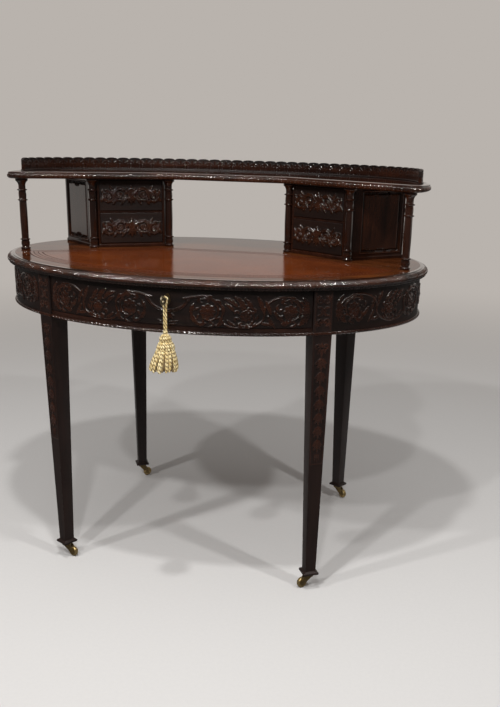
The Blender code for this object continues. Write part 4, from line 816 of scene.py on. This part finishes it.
def carve_leg(across, up, half):
    """A leg's outward face: a block with scrolled leaves, then a palmette and a chain of bell flowers.

    A bell flower is five petals from one root, wide enough to reach the two thin lines beside it.
    """
    carving = Carving(across, up)
    block_low, block_high = FRIEZE_LOW + BEAD_HEIGHT, UNDERSIDE_Z
    middle = (block_low + block_high) / 2
    top = FRIEZE_LOW - 0.029
    first_husk, husks, pitch = top - 0.026, 7, 0.0325
    low = first_husk - pitch * husks
    end, inset = low - 0.024, 0.0036
    for way in (-1, 1):
        edge = way * 0.0172
        carving.stroke([(edge, block_low + 0.003), (edge, block_high - 0.003)], [0.0011], 0.0012)
        for up_way in (-1, 1):
            x, z = way * 0.0062, middle + up_way * 0.0235
            carving.scroll((x, z), 0.0085, up_way * pi / 2, -way * up_way * 1.1, 0.0017, 0.002)
            carving.rosette((x, z), 0.003, 4, 0.0024)
            root = (x + way * 0.0045, z + up_way * 0.004)
            for turn in (-0.9, 0.0, 0.9):
                heading = up_way * (pi / 2 - way * (0.7 + turn))
                carving.leaf(root, heading, 0.0085, 0.0022, -way * 0.5, 0.0019, 0)
            root, heading = (0.0, middle + up_way * 0.004), up_way * (pi / 2 - way * 0.75)
            carving.leaf(root, heading, 0.016, 0.003, -up_way * way * 0.9, 0.0021, 2)
        carving.scroll((way * 0.0082, top + 0.0035), 0.0068, -pi / 2, way * 1.1, 0.0016, 0.002)
        carving.leaf((way * 0.003, top - 0.003), -pi / 2 + way * 0.9, 0.013, 0.0026, -way * 0.9, 0.002, 0)
        carving.leaf((way * 0.002, top + 0.002), pi / 2 - way * 0.5, 0.011, 0.0022, -way * 0.6, 0.002, 0)
        sides = [(way * (half(z) - inset), z) for z in np.linspace(low - 0.022, FRIEZE_LOW - 0.012, 12)]
        carving.stroke(sides, [0.0009], 0.0011)
    carving.rosette((0.0, middle), 0.0075, 6, 0.0026)
    carving.leaf((0.0, top + 0.001), pi / 2, 0.012, 0.0026, 0.0, 0.0022, 0)
    carving.leaf((0.0, top - 0.004), -pi / 2, 0.017, 0.003, 0.0, 0.0022, 0)
    petals = (
        (-0.62, 0.0175, 0.0034), (0.62, 0.0175, 0.0034), (-0.3, 0.0235, 0.0032), (0.3, 0.0235, 0.0032),
        (0.0, 0.028, 0.003),
    )
    for husk in range(husks):
        root = first_husk - pitch * husk
        wide = (float(half(root - 0.012)) - 0.006) / 0.013
        for lean, long, broad in petals:
            carving.leaf((0.0, root), -pi / 2 + lean * wide, long, broad * wide, lean * 0.35, 0.0023, 0)
        for way, heading in ((-1, 0.25 + pi), (1, -0.25)):
            carving.leaf((0.0, root + 0.001), heading, 0.01 * wide, 0.0022, -way * 0.7, 0.0019, 0)
        carving.rosette((0.0, root + 0.0015), 0.003, 4, 0.0024)
    for flute in (-1, 0, 1):
        x = flute * 0.0042
        carving.stroke([(x, low - 0.001), (x, low - 0.02 + 0.004 * abs(flute))], [0.0015, 0.0008], 0.0014)
    carving.stroke([(-half(end) + inset, end), (half(end) - inset, end)], [0.0009], 0.0011)
    return carving.height


def make_legs(material):
    """Square tapered legs with softened corners: each level is a rounded square, and the face is carved.

    Width falls evenly from the block to the plinth; the carving is taken off the face's own plane.
    """
    plinth = LEG_LOW + PLINTH_HEIGHT
    cove = plinth + PLINTH_COVE
    block_top = UNDERSIDE_Z - SKIN

    def half(z):
        return (LEG_TOP + (LEG_FOOT - LEG_TOP) * unit((FRIEZE_LOW - z) / (FRIEZE_LOW - cove))) / 2

    levels = np.concatenate([
        [LEG_LOW, LEG_LOW + 0.0005, plinth - 0.0005, plinth, plinth + 0.0012, plinth + 0.0028],
        np.linspace(cove, 0.33, 90), np.arange(0.3316, block_top, 0.0016), [block_top],
    ])
    halves = half(levels)
    eased = PLINTH_WIDTH - 0.001
    halves[:6] = np.array([eased, PLINTH_WIDTH, PLINTH_WIDTH, eased, 0.0315, 0.028]) / 2
    face = np.linspace(-1.0, 1.0, 31)
    # A ring's points: places on a square two wide, and how the rounded corners pull them in
    bends = np.linspace(0.0, pi / 2, 4)[1:-1]
    corner = np.stack([np.ones(2), -np.ones(2), np.sin(bends) - 1.0, 1.0 - np.cos(bends)], -1)
    places = []
    for turn in range(4):
        spread = face if turn == 0 else np.array([-1.0, 0.0, 1.0])
        pull = -np.sign(spread) * (np.abs(spread) == 1.0)
        side = np.stack([spread, -np.ones(len(spread)), pull, np.zeros(len(spread))], -1)
        c, s = round(cos(turn * pi / 2)), round(sin(turn * pi / 2))
        quarter = np.concatenate([side, corner]).reshape(-1, 2, 2)
        places.append(quarter @ np.array([[c, s], [-s, c]]))
    places = np.concatenate(places)
    plan = places[None, :, 0] * halves[:, None, None] + places[None, :, 1] * LEG_CORNER
    across = face[None] * (halves[:, None] - LEG_CORNER)
    heights = np.zeros(plan.shape[:2])
    heights[:, :len(face)] = carve_leg(across, np.broadcast_to(levels[:, None], across.shape), half)
    plan[..., 1] -= heights
    for name in LEG_ANGLES:
        centre, side, out = leg_frame(name)
        points = raised(centre + plan[..., :1] * side - plan[..., 1:] * out, levels[:, None])
        piece(
            f"carved_leg_{name}", "desk", material, "leg_mahogany", points, *shell(points),
            node=f"leg_{name}", height=heights / LEG_RELIEF,
        )


def moulded_edge(name, profile, run, carve, material, slot, shade, back):
    """A closed ring of edge moulding: a profile of (out, height) points carried round a closed run.

    The run is plan points, outward ways and distances; carve gives the depth cut from each place on the run
    and share of the profile; shade is painted shade on the profile, from 0 (dark) to 1; back turns the faces
    over.
    """
    plan, outs, along = run
    lift = carve(along[:, None], np.linspace(0, 1, len(profile)))
    points = raised(plan[:, None] + outs[:, None] * (profile[:, 0] - lift)[..., None], profile[:, 1])
    # Tone for dirt and painted shade: dark in the carving's cuts and where the painted shade is low
    dirt_and_shade_tone = (1.0 - lift / max(lift.max(), 1e-6)) * shade
    piece(name, "desk", material, slot, points, *shell(points, True, back), height=dirt_and_shade_tone)


def make_top(edge_material, band_material):
    """The top: a flat board with the leather's recess, and round it a carved moulding.

    The moulding's section swells to the solid's own outline, and its carving is cut inwards from it: sprays
    of slanted leaves, each with a boss beside it. The board is the solid's own mesh, moved in at its rim.
    """
    plan, outs, along = oval_run(0.0, 0.0, 2 * pi, 0.0014)
    pitch = along[-1] / round(along[-1] / 0.05)
    section = resampled([
        (1.0, 0.0), (0.8, 0.0), (0.5, 0.0), (0.32, 0.03), (0.14, 0.12), (0.05, 0.24), (0.0, 0.38),
        (0.01, 0.52), (0.06, 0.66), (0.16, 0.78), (0.3, 0.865), (0.4, 0.9), (0.5, 0.915), (0.58, 0.92),
        (0.62, 0.965), (0.66, 0.992), (0.72, 1.0), (0.86, 1.0), (1.0, 1.0),
    ], 58)
    profile = (0.0, UNDERSIDE_Z) + section * (-TOP_MOULDING, TOP_Z - UNDERSIDE_Z)

    def carve(distance, share):
        place = (distance / pitch) % 1.0
        up = unit((share - 0.14) / 0.54)
        mirrored = np.abs(place - 0.4) / 0.4
        spray = ripple(mirrored * 2.6 - 0.9 * up) ** 0.9
        vein = 0.75 + 0.25 * ripple(mirrored * 7.8 - 2.7 * up)
        boss = dome(np.hypot((place - 0.9) / 0.075, (up - 0.5) / 0.36))
        leaf = np.where(place < 0.8, spray * vein, 0.0)
        notch = hump(np.abs(place - 0.4) - 0.4, 0.03) + hump(place - 0.4, 0.022)
        rib = hump(up - 0.5, 0.085) * (1.0 - notch) + hump(up - 0.93, 0.05)
        relief = unit(np.maximum(np.maximum(leaf, boss), np.clip(rib, 0.0, 0.9)))
        grooves = 0.0022 * (hump(share - 0.765, 0.024) + hump(share - 0.27, 0.045))
        return 0.0036 * np.sin(pi * up).clip(0.0) ** 0.4 * (1.0 - relief) + grooves

    # Painted shade: the moulding's lower part is darkened, as the shadow under the overhang; its upper part
    # is not
    past_crest = np.linspace(0, 1, len(section)) > 0.75
    shade = np.interp(section[:, 1] + past_crest, (0.0, 0.34, 0.5), (0.0, 0.05, 1.0))
    run = (plan[:-1], outs[:-1], along[:-1])
    moulded_edge("top_moulding", profile, run, carve, edge_material, "polished_top", shade, True)

    source = NODES["top_board"].data
    points = np.empty(len(source.vertices) * 3)
    source.vertices.foreach_get("co", points)
    corners = np.empty(len(source.loops), int)
    source.loops.foreach_get("vertex_index", corners)
    keys, where = np.unique(np.round(points.reshape(-1, 3), 5), axis=0, return_inverse=True)
    faces = where.ravel()[corners].reshape(-1, 3)
    faces = faces[(faces != np.roll(faces, 1, axis=1)).all(1)]
    x, y = keys[:, 0], keys[:, 1] - MIDDLE_Y
    rim = HALF_WIDTH - np.hypot(x, y * HALF_WIDTH / HALF_DEPTH) < TOP_MOULDING + 0.0002
    keys[rim, :2] = oval(TOP_MOULDING - 0.0002, np.arctan2(y / HALF_DEPTH, x / HALF_WIDTH))[rim]
    piece("top_core", "desk", band_material, "polished_top", keys, faces, smooth=0, node="top_board")


def ring_profile(middle, height, inner, outer=0.0125):
    """A half-round ring on a shaft: outer over inner by the root of one minus the share squared."""
    share = np.linspace(-1.0, 1.0, 9)
    return [*zip(inner + (outer - inner) * dome(share), middle + height / 2 * share)]


def make_columns(material):
    """Six turned columns: a foot, a low ring, a slightly swelled shaft, two rings and a flared cap.

    The profile of (radius, height) points, measured from the foot and then from the top, is spun.
    """
    lower = [
        (0.0095, 0.0), (0.0112, 0.0), *ring_profile(0.0028, 0.0052, 0.0105), (0.009, 0.0064), (0.0106, 0.012),
        (0.0108, 0.018), (0.0092, 0.0228), *ring_profile(0.0255, 0.0042, 0.0092), (0.009, 0.0285),
        (0.0092, 0.05), (0.0096, 0.075), (0.0094, 0.1),
    ]
    upper = [
        (0.009, -0.0562), *ring_profile(-0.053, 0.0044, 0.009), (0.009, -0.05), (0.0098, -0.044),
        (0.0096, -0.036), (0.0088, -0.0305), *ring_profile(-0.028, 0.0042, 0.0088), (0.0088, -0.025),
        (0.0088, -0.0165), (0.0096, -0.0125), (0.012, -0.0085), (0.0146, -0.0062), (0.0154, -0.005),
        (0.0155, -0.004), (0.0155, -0.0006), (0.015, 0.0),
    ]
    profile = np.concatenate([np.add(lower, (0.0, COLUMN_LOW)), np.add(upper, (0.0, COLUMN_HIGH))])
    spokes = direction(2 * pi * np.arange(36) / 36)
    for side_name, side in SIDES:
        for place_name, along in (("outer", 0.0), ("middle", MIDDLE_COLUMN), ("inner", INNER_COLUMN)):
            plan = wing_point(side, along, 0.0) + profile[:, None, :1] * spokes
            points = raised(plan, profile[:, 1:])
            name = f"column_{side_name}_{place_name}"
            piece(f"turned_{name}", "desk", material, "turned_mahogany", points, *shell(points), node=name)


def fillet(before, corner, after, radius, steps):
    """Points of a round corner between two straight runs, on a circle that touches both."""
    to_before, to_after = one_long(before - corner), one_long(after - corner)
    half = np.arccos(np.clip(to_before @ to_after, -1, 1)) / 2
    centre = corner + one_long(to_before + to_after) * radius / sin(half)
    first, last = (
        atan2(spoke[1], spoke[0])
        for spoke in (corner + way * radius * cos(half) / sin(half) - centre for way in (to_before, to_after))
    )
    sweep = (last - first + pi) % (2 * pi) - pi
    return centre + radius * direction(first + sweep * np.linspace(0, 1, steps + 1))


def shelf_line(step):
    """The shelf's closed outline in even steps: plan points, outward ways, distances and its whole length.

    Its front follows the wings' lines, moved forwards by its lip, from their meetings with the oval.
    """
    half_width, half_depth = HALF_WIDTH - SHELF_INSET, HALF_DEPTH - SHELF_INSET

    def oval_angle(point):
        return atan2((point[1] - MIDDLE_Y) / half_depth, point[0] / half_width)

    start, way = wing_point(1, 0.0, -SHELF_LIP), np.array([cos(WING_ANGLE), -sin(WING_ANGLE)])
    place, slope = (start - (0.0, MIDDLE_Y)) / (half_width, half_depth), way / (half_width, half_depth)
    a, b, c = slope @ slope, place @ slope, place @ place - 1
    tip = start + way * (sqrt(b * b - a * c) - b) / a
    middle = np.array([0.0, wing_point(1, INNER_COLUMN, 0.0)[1] - SHELF_LIP])
    bend = start - way * (middle[1] - start[1]) / sin(WING_ANGLE)
    round_tip = fillet(oval(SHELF_INSET, oval_angle(tip) + radians(4)), tip, bend, 0.022, 16)
    arc = oval(SHELF_INSET, np.linspace(pi / 2, oval_angle(round_tip[0]), 200))
    right = np.concatenate([arc, round_tip[1:], fillet(tip, bend, middle, 0.06, 16)])
    closed = np.concatenate([right, right[::-1][1:-1] * (-1.0, 1.0), right[:1]])
    run = distances(closed)
    count = int(round(run[-1] / step))
    along = np.arange(count) * run[-1] / count
    plan = np.stack([np.interp(along, run, closed[:, 0]), np.interp(along, run, closed[:, 1])], -1)
    ways = one_long(np.roll(plan, -1, axis=0) - np.roll(plan, 1, axis=0))
    return plan, np.stack([-ways[:, 1], ways[:, 0]], -1), along, run[-1]


def make_shelf_edge(material):
    """The shelf's edge: a nulled moulding over the plain solid, its lobes lying slantwise round it.

    A thin fillet runs above the lobes, and each lobe swells and sinks as a rectified sine.
    """
    *run, total = shelf_line(0.0011)
    pitch = total / round(total / 0.0118)
    low, high = SHELF_LOW - 0.0001, SHELF_HIGH + 0.0002
    section = resampled([
        (-0.009, 0.0), (-0.0035, 0.0), (0.0002, 0.08), (0.0026, 0.22), (0.0034, 0.4), (0.0028, 0.56),
        (0.001, 0.68), (-0.0004, 0.73), (0.0006, 0.78), (0.0006, 0.86), (-0.001, 0.93), (-0.0045, 1.0),
        (-0.009, 1.0),
    ], 30)

    def carve(distance, share):
        up = unit((share - 0.1) / 0.46)
        lobe = ripple(distance / pitch + 0.55 * up)
        bead = ripple(distance / pitch * 2.0)
        strip = unit(1.0 - ((share - 0.66) / 0.08) ** 2)
        return 0.0034 * np.sin(pi * up) ** 0.6 * (1.0 - lobe ** 0.8) + 0.001 * strip * (1.0 - bead)

    # Painted shade: the lowest part of the edge, under the lobes, is darkened, as the shadow beneath it
    shade = np.interp(np.linspace(0, 1, len(section)), (0.0, 0.14, 0.24), (0.0, 0.1, 1.0))
    profile = (0.0, low) + section * (1.0, high - low)
    moulded_edge("shelf_moulding", profile, run, carve, material, "carved_mahogany", shade, False)


def make_gallery(material):
    """The gallery: an upright band whose top is a row of flat arches, carved on both faces.

    Arches are of equal length. Each holds an upright leaf between two that lean out over small scrolls, and a
    rib parts it from the next; the height is the same on the two faces.
    """
    low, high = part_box("gallery")[0][2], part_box("gallery")[1][2]
    plan, out, along = oval_run(SHELF_INSET + GALLERY_INSET, GALLERY_END, pi - GALLERY_END, 0.0013)
    width = along[-1] / GALLERY_ARCHES
    place = (along / width) % 1.0
    place[-1] = 1.0
    arch = ((0.0, 0.0), (0.08, 0.5), (0.16, 0.74), (0.32, 0.94), (0.5, 1.0))
    rise = np.interp(0.5 - np.abs(place - 0.5), *zip(*arch))
    top = high - GALLERY_NOTCH * (1.0 - rise)
    base = low + 0.003
    levels = base + (top - base) * np.linspace(0, 1, 24)[:, None]
    carving = Carving(np.broadcast_to((place - 0.5) * width, levels.shape), levels - low)
    carving.leaf((0.0, 0.007), pi / 2, 0.0205, 0.003, 0.0, 0.0016, 0)
    for way in (-1, 1):
        carving.leaf((way * 0.002, 0.0065), pi / 2 - way * 0.28, 0.02, 0.0026, -way * 0.55, 0.0015, 0)
        carving.leaf((way * 0.005, 0.0065), pi / 2 - way * 0.55, 0.0165, 0.0024, -way * 0.75, 0.0014, 0)
        carving.scroll((way * 0.0088, 0.007), 0.0034, pi / 2, way * 1.0, 0.0013, 0.0014)
        carving.stroke([(way * 0.0156, 0.004), (way * 0.015, 0.024)], [0.0016, 0.001], 0.0015)
    carving.leaf((0.0, 0.007), -pi / 2, 0.004, 0.0026, 0.0, 0.0014, 0)
    height = np.maximum(carving.height, 0.001 * hump(levels - top + 0.0014, 0.0009))
    face = GALLERY_THICKNESS / 2 - 0.0011 + height
    # Tone for the carved wood's dirt and painted shade: the carving's ground, and the foot, which gets none,
    # go dark
    tone = np.pad(carving.height / 0.0014, ((4, 0), (0, 0)))
    sides = []
    for sign in (1.0, -1.0):
        foot = [
            raised(plan + sign * out * reach, low + level)
            for reach, level in ((0.006, 0.0), (0.0061, 0.0008), (0.0059, 0.0018), (0.0046, 0.0027))
        ]
        sides.append(np.concatenate([foot, raised(plan + sign * out * face[..., None], levels)]))
    rings = np.concatenate([sides[0], sides[1][::-1]]).transpose(1, 0, 2)
    dirt_and_shade_tone = np.concatenate([tone, tone[::-1]]).T
    piece(
        "carved_gallery", "desk", material, "carved_mahogany", rings, *shell(rings, back=True),
        node="gallery", height=dirt_and_shade_tone,
    )


def panel_grid(start, end, low, high, step):
    """A flat panel's distances and levels, and each point's place from its middle and from its edge."""
    along = np.linspace(start, end, int((end - start) / step))
    levels = np.linspace(low, high, int((high - low) / step))
    across, up = np.meshgrid(along - (start + end) / 2, levels - (low + high) / 2)
    edge = np.minimum.outer(np.minimum(levels - low, high - levels), np.minimum(along - start, end - along))
    return along, levels, across, up, edge


def small_drawer_skin(side_name, side, level, material):
    """A small drawer's flat carved face: a wave of leafy turns to each side of a palmette."""
    name = f"{side_name}_{level}"
    start, end = MIDDLE_COLUMN + DRAWER_INSET, INNER_COLUMN - DRAWER_INSET
    (_, _, low), (_, _, high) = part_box(f"small_front_{name}")
    along, levels, across, up, edge = panel_grid(start, end, low, high, 0.001)
    carving = Carving(np.abs(across) / 1.2, up / 1.14)
    rise = 0.0038
    for heading, long, wide, bend in (
        (pi / 2, 0.021, 0.0042, 0.0), (0.95, 0.019, 0.0034, 0.25), (0.45, 0.016, 0.003, 0.25)
    ):
        carving.leaf((0.0, 0.001), heading, long, wide, bend, rise, 3)
        carving.leaf((0.0, -0.001), -heading, long * 0.9, wide, -bend, rise, 3)
    carving.rosette((0.0, 0.0), 0.0058, 6, rise)
    for place, radius, way in ((0.0265, 0.0115, 1), (0.05, 0.0095, -1)):
        centre = np.array([place, way * 0.003])
        carving.scroll(centre, radius, way * pi * 0.75, -way * 1.15, 0.0018, rise)
        carving.rosette(centre, radius * 0.52, 6, 0.0036)
        for leaf in range(9):
            heading = way * (pi * 0.8 - leaf * 0.68)
            root = centre + direction(heading) * radius
            carving.leaf(root, heading - way * 0.75, radius * 0.92, 0.003, -way * 1.4, 0.0031, 3)
    carving.curve(
        (0.004, 0.0), (0.014, 0.0135), (0.027, 0.0165), (0.0385, 0.004), (0.043, -0.0105), (0.054, -0.0135),
        (0.0625, -0.003), width=0.0018, rise=rise, taper=0.2,
    )
    for root, heading, long, bend in (
        ((0.0375, 0.008), 0.7, 0.018, 0.5), ((0.045, 0.006), 0.95, 0.016, -0.8),
        ((0.036, -0.01), -1.5, 0.012, 0.9), ((0.06, 0.001), 0.9, 0.014, 0.8),
        ((0.06, -0.004), -0.6, 0.013, -0.8), ((0.0135, -0.009), -0.5, 0.015, -0.7),
    ):
        carving.leaf(root, heading, long, 0.0034, bend, rise, 3)
    skin = SKIN + carving.height - SKIN * unit(1.0 - edge / 0.0008)
    way_out = wing_point(side, 0.0, -1.0) - wing_point(side, 0.0, 0.0)
    base = wing_point(side, along, -0.001)
    slab(
        f"small_drawer_carving_{name}", f"small_drawer_{name}", material, "carved_mahogany",
        base + way_out * skin[..., None], levels, base - way_out * 0.001, carving.height, flip=side > 0,
    )


def side_panel_skin(side_name, side, material):
    """A pedestal's side panel: a rim, a deep hollow, a raised flat field, and leaves at its two ends."""
    node = f"side_panel_{side_name}"
    (ax, _, low), (bx, _, high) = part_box(node)
    first = side_place(1, 0.0, 0.0)[0]
    end = float((max(abs(ax), abs(bx)) - first) / (side_place(1, 1.0, 0.0)[0] - first))
    along, levels, across, up, edge = panel_grid(PANEL_START, end, low, high, 0.0012)
    section = (
        (0.003, 0.0), (0.0042, -0.003), (0.006, -0.0052), (0.008, -0.006), (0.0092, -0.0056),
        (0.0118, -0.0026), (0.0124, -0.0024),
    )
    sunk = np.interp(edge, *zip(*section)) + 0.0012 * dome((edge - 0.0024) / 0.0018)
    carving = Carving(np.abs(across) / 0.8, ((high - low) / 2 - np.abs(up)) / 0.62)
    carving.leaf((0.0, 0.006), pi / 2, 0.021, 0.0052, 0.0, 0.0032)
    for heading, long, wide, bend in (
        (1.1, 0.022, 0.0046, 0.5), (0.62, 0.024, 0.0044, 0.7), (0.22, 0.026, 0.0038, 0.5)
    ):
        carving.leaf((0.002, 0.0065), heading, long, wide, bend, 0.003)
    carving.scroll((0.03, 0.0135), 0.0062, -pi / 2, 1.0, 0.0018, 0.003)
    carving.leaf((0.033, 0.007), 0.1, 0.02, 0.0042, 0.6, 0.0028, 3)
    out = np.clip(sunk + carving.height * (edge > 0.004), -0.006, 0.0012)
    # Painted shade: the tone goes dark along the deep hollow, as a shadow line; it also darkens the leaves
    # the higher they stand
    tone = unit(np.abs(edge - 0.0078) / 0.0046) ** 2 * np.clip(1.0 - carving.height / 0.002, 0.1, 1.0)
    slab(
        f"side_panel_carving_{side_name}", "desk", material, "plain_mahogany", side_place(side, along, out),
        levels, side_place(side, along, -0.0075), tone, node, side < 0,
    )


def make_wheels(material):
    """The castors' wheels, each turned as one brass roller: a hub, a hollow web and a full, rounded tread."""
    half = (
        (0.17, -1.0), (0.34, -1.0), (0.38, -0.92), (0.5, -0.8), (0.66, -0.86), (0.76, -0.9), (0.86, -0.78),
        (0.935, -0.58), (0.98, -0.32), (1.0, 0.0),
    )
    shares = np.array(half + tuple((radius, -wide) for radius, wide in half[-2::-1]))
    turns = 2 * pi * np.arange(40) / 40
    for corner, heading in (("front_left", 8), ("front_right", 196), ("back_right", -12), ("back_left", 22)):
        node, heading = f"castor_wheel_{corner}", radians(heading)
        centre = np.mean(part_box(node), axis=0)
        _, along, out = leg_frame(corner)
        axle = -along * sin(heading) - out * cos(heading)
        ahead = along * cos(heading) - out * sin(heading)
        radius, wide = shares[:, :1] * centre[2], shares[:, 1:] * WHEEL_HALF_WIDTH
        plan = centre[:2] + wide[..., None] * axle + (radius * np.cos(turns))[..., None] * ahead
        points = raised(plan, centre[2] + radius * np.sin(turns))
        piece(
            f"brass_{node}", f"wheel_{corner}", material, "wheel_brass", points, *shell(points, True, True),
            node=node,
        )


def dress(names, material):
    """Gives CAD nodes, whose shape is right, a better material."""
    for name in names.split():
        node = NODES[name]
        if not node.material_slots:
            node.data.materials.append(material)
        for slot in node.material_slots:
            slot.material = material


def make_stage():
    """A plain pale floor that fades into the room's own pale grey some way from the desk."""
    room = (0.485, 0.45, 0.418)
    black = (0.0, 0.0, 0.0)
    paint = Paint("floor")
    x = paint.node("SeparateXYZ", {}, {0: paint.place}, "X")
    y = paint.other(x, "Y")
    far = ((x ** 2.0 + y ** 2.0) ** 0.5).ramp(1.0, 4.5)
    colour = paint.mix(paint.noise(120.0, 3.0, 0.6) * 0.5, (0.68, 0.68, 0.685), (0.6, 0.6, 0.61))
    aside = y.ramp(0.3, -0.5).most(x.size().ramp(0.7, 1.5) * x.size().ramp(8.0, 5.0))
    # Painted reflection: seen in the desk's polish, the floor in front and to the sides goes dark, as a dim
    # room's reflection
    mirrored = paint.node("LightPath", output="Is Glossy Ray") * aside * 0.88
    material = paint.done(
        Base_Color=paint.mix(far.most(mirrored), colour, black), Roughness=1.0, Specular_IOR_Level=0.0,
        Emission_Color=paint.mix(far * (1.0 - mirrored), black, room), Emission_Strength=1.0,
    )
    mesh = bpy.data.meshes.new("floor")
    mesh.from_pydata([(-40, -40, 0), (40, -40, 0), (40, 40, 0), (-40, 40, 0)], [], [(0, 1, 2, 3)])
    mesh.materials.append(material)
    floor = bpy.data.objects.new("floor", mesh)
    bpy.context.scene.collection.objects.link(floor)
    sky = Room()
    camera = sky.node("LightPath", output="Is Camera Ray")
    glossy = sky.other(camera, "Is Glossy Ray")
    behind = sky.node("SeparateXYZ", {}, {0: sky.place}, "Y")
    mirrored = (behind.ramp(0.3, 0.8) * 0.94 + 0.06).most(sky.other(behind, "Z").ramp(0.15, 0.85) * 0.3)
    strength = (glossy * mirrored + (1.0 - glossy) * 0.54) * (1.0 - camera) + camera
    sky.done(Color=room, Strength=strength)


def make_lamp(name, place, size, power):
    """A square lamp, turned to the middle of the desk."""
    data = bpy.data.lights.new(name, "AREA")
    data.shape, data.size, data.energy, data.color = "SQUARE", size, power, (1.0, 0.98, 0.95)
    lamp = bpy.data.objects.new(name, data)
    lamp.location = place
    lamp.rotation_mode = "QUATERNION"
    lamp.rotation_quaternion = (Vector((0.0, 0.0, 0.7)) - Vector(place)).to_track_quat("-Z", "Y")
    bpy.context.scene.collection.objects.link(lamp)


def main():
    make_camera()
    straw = silk()
    cord, line, length = make_cord(straw)
    strands = make_tassel(straw)

    dark, light, brown = (0.009, 0.0033, 0.0022), (0.034, 0.0108, 0.0056), (0.056, 0.017, 0.007)
    level_grain, case_grain = (9.0, 9.0, 130.0), (60.0, 60.0, 8.0)
    frieze_wood = mahogany(
        "carved_frieze_wood", level_grain, dark, (0.037, 0.0102, 0.0042), 0.15, 0.62, 0.4, 0.06, True
    )
    edge_wood = mahogany("carved_edge_wood", (30.0, 30.0, 30.0), dark, brown, 0.13, 1.0, 0.55, 0.045, True)
    gallery_wood = mahogany("gallery_wood", level_grain, dark, light, 0.16, 0.45, 0.34, 0.07, True)
    leg_wood = mahogany(
        "leg_wood", (110.0, 110.0, 7.0), (0.0165, 0.0062, 0.0044), (0.046, 0.0165, 0.0098), 0.18, 0.4, 0.4,
        0.08, True,
    )
    upright_wood = mahogany("upright_wood", (90.0, 90.0, 7.0), dark, light, 0.09, 1.0, 0.5, 0.05)
    panel_wood = mahogany("panel_wood", case_grain, dark, brown, 0.09, 0.3, 0.5, 0.05, True)
    small_wood = mahogany(
        "small_drawer_wood", (14.0, 14.0, 120.0), dark, (0.044, 0.0135, 0.0055), 0.14, 0.62, 0.4, 0.07, True
    )
    band_wood = mahogany(
        "band_wood", (8.0, 90.0, 90.0), (0.04, 0.011, 0.004), (0.14, 0.04, 0.01), 0.09, 0.06, 0.22, 0.05
    )
    case_wood = mahogany("case_wood", case_grain, dark, light, 0.1, 0.25, 0.4, 0.05)
    shelf_wood = mahogany("shelf_wood", (8.0, 60.0, 60.0), dark, light, 0.04, 0.06, 0.2, 0.02, dent=0.0)
    plain_wood = mahogany("plain_wood", (12.0, 60.0, 60.0), dark, light, 0.34, 0.1, 0.28)
    aged_brass = brass("aged_brass", (0.06, 0.04, 0.022), (0.2, 0.14, 0.065), 0.3)
    castor_brass = brass("castor_brass", (0.09, 0.062, 0.028), (0.24, 0.17, 0.075), 0.34)
    wheel_metal = brass("wheel_metal", (0.21, 0.145, 0.06), (0.52, 0.39, 0.18), 0.34)
    key_metal = brass("key_metal", (0.1, 0.085, 0.06), (0.32, 0.27, 0.18), 0.24)

    front_low, front_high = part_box("drawer_front")
    frieze_panel(
        "drawer_carving", "front_left", "front_right", 0.0012, front_low[2], front_high[2], "frieze_drawer",
        frieze_wood, carve_drawer,
    )
    frieze_low, frieze_high = FRIEZE_LOW + BEAD_HEIGHT, UNDERSIDE_Z - SKIN
    for name, first, last in FRIEZE_ENDS[:3]:
        frieze_panel(
            f"{name}_frieze_carving", first, last, SKIN, frieze_low, frieze_high, "desk", frieze_wood,
            carve_frieze,
        )
    make_beads(frieze_wood)
    make_legs(leg_wood)
    make_top(edge_wood, band_wood)
    make_columns(upright_wood)
    make_shelf_edge(edge_wood)
    make_gallery(gallery_wood)
    for side_name, side in SIDES:
        for level in ("lower", "upper"):
            small_drawer_skin(side_name, side, level, small_wood)
        side_panel_skin(side_name, side, panel_wood)
    make_wheels(wheel_metal)

    lining = lining_wood()
    dress("leather_inset", old_leather())
    dress("left_frieze right_frieze back_frieze front_rail drawer_front", plain_wood)
    dress("shelf", shelf_wood)
    dress("pedestal_left pedestal_right", case_wood)
    dress("drawer_side_left drawer_side_right drawer_back drawer_bottom", lining)
    dress("drawer_runner_left drawer_runner_right", lining)
    dress("drawer_lock lock_bolt keyhole_plate", aged_brass)
    dress("key", key_metal)
    for place in ("left_lower", "left_upper", "right_lower", "right_upper"):
        dress(f"small_front_{place}", plain_wood)
        dress(f"small_tray_{place}", lining)
    for corner in LEG_ANGLES:
        dress(f"castor_plate_{corner} castor_horn_{corner} castor_axle_{corner}", castor_brass)

    make_stage()
    for number, place in enumerate(SPOTS):
        make_lamp(f"spot_{number}", place, 0.12, 22.0)
    make_lamp("ceiling", (0.0, -0.4, 3.0), 2.0, 8.0)
    bpy.context.scene.view_settings.view_transform = "Standard"


main()
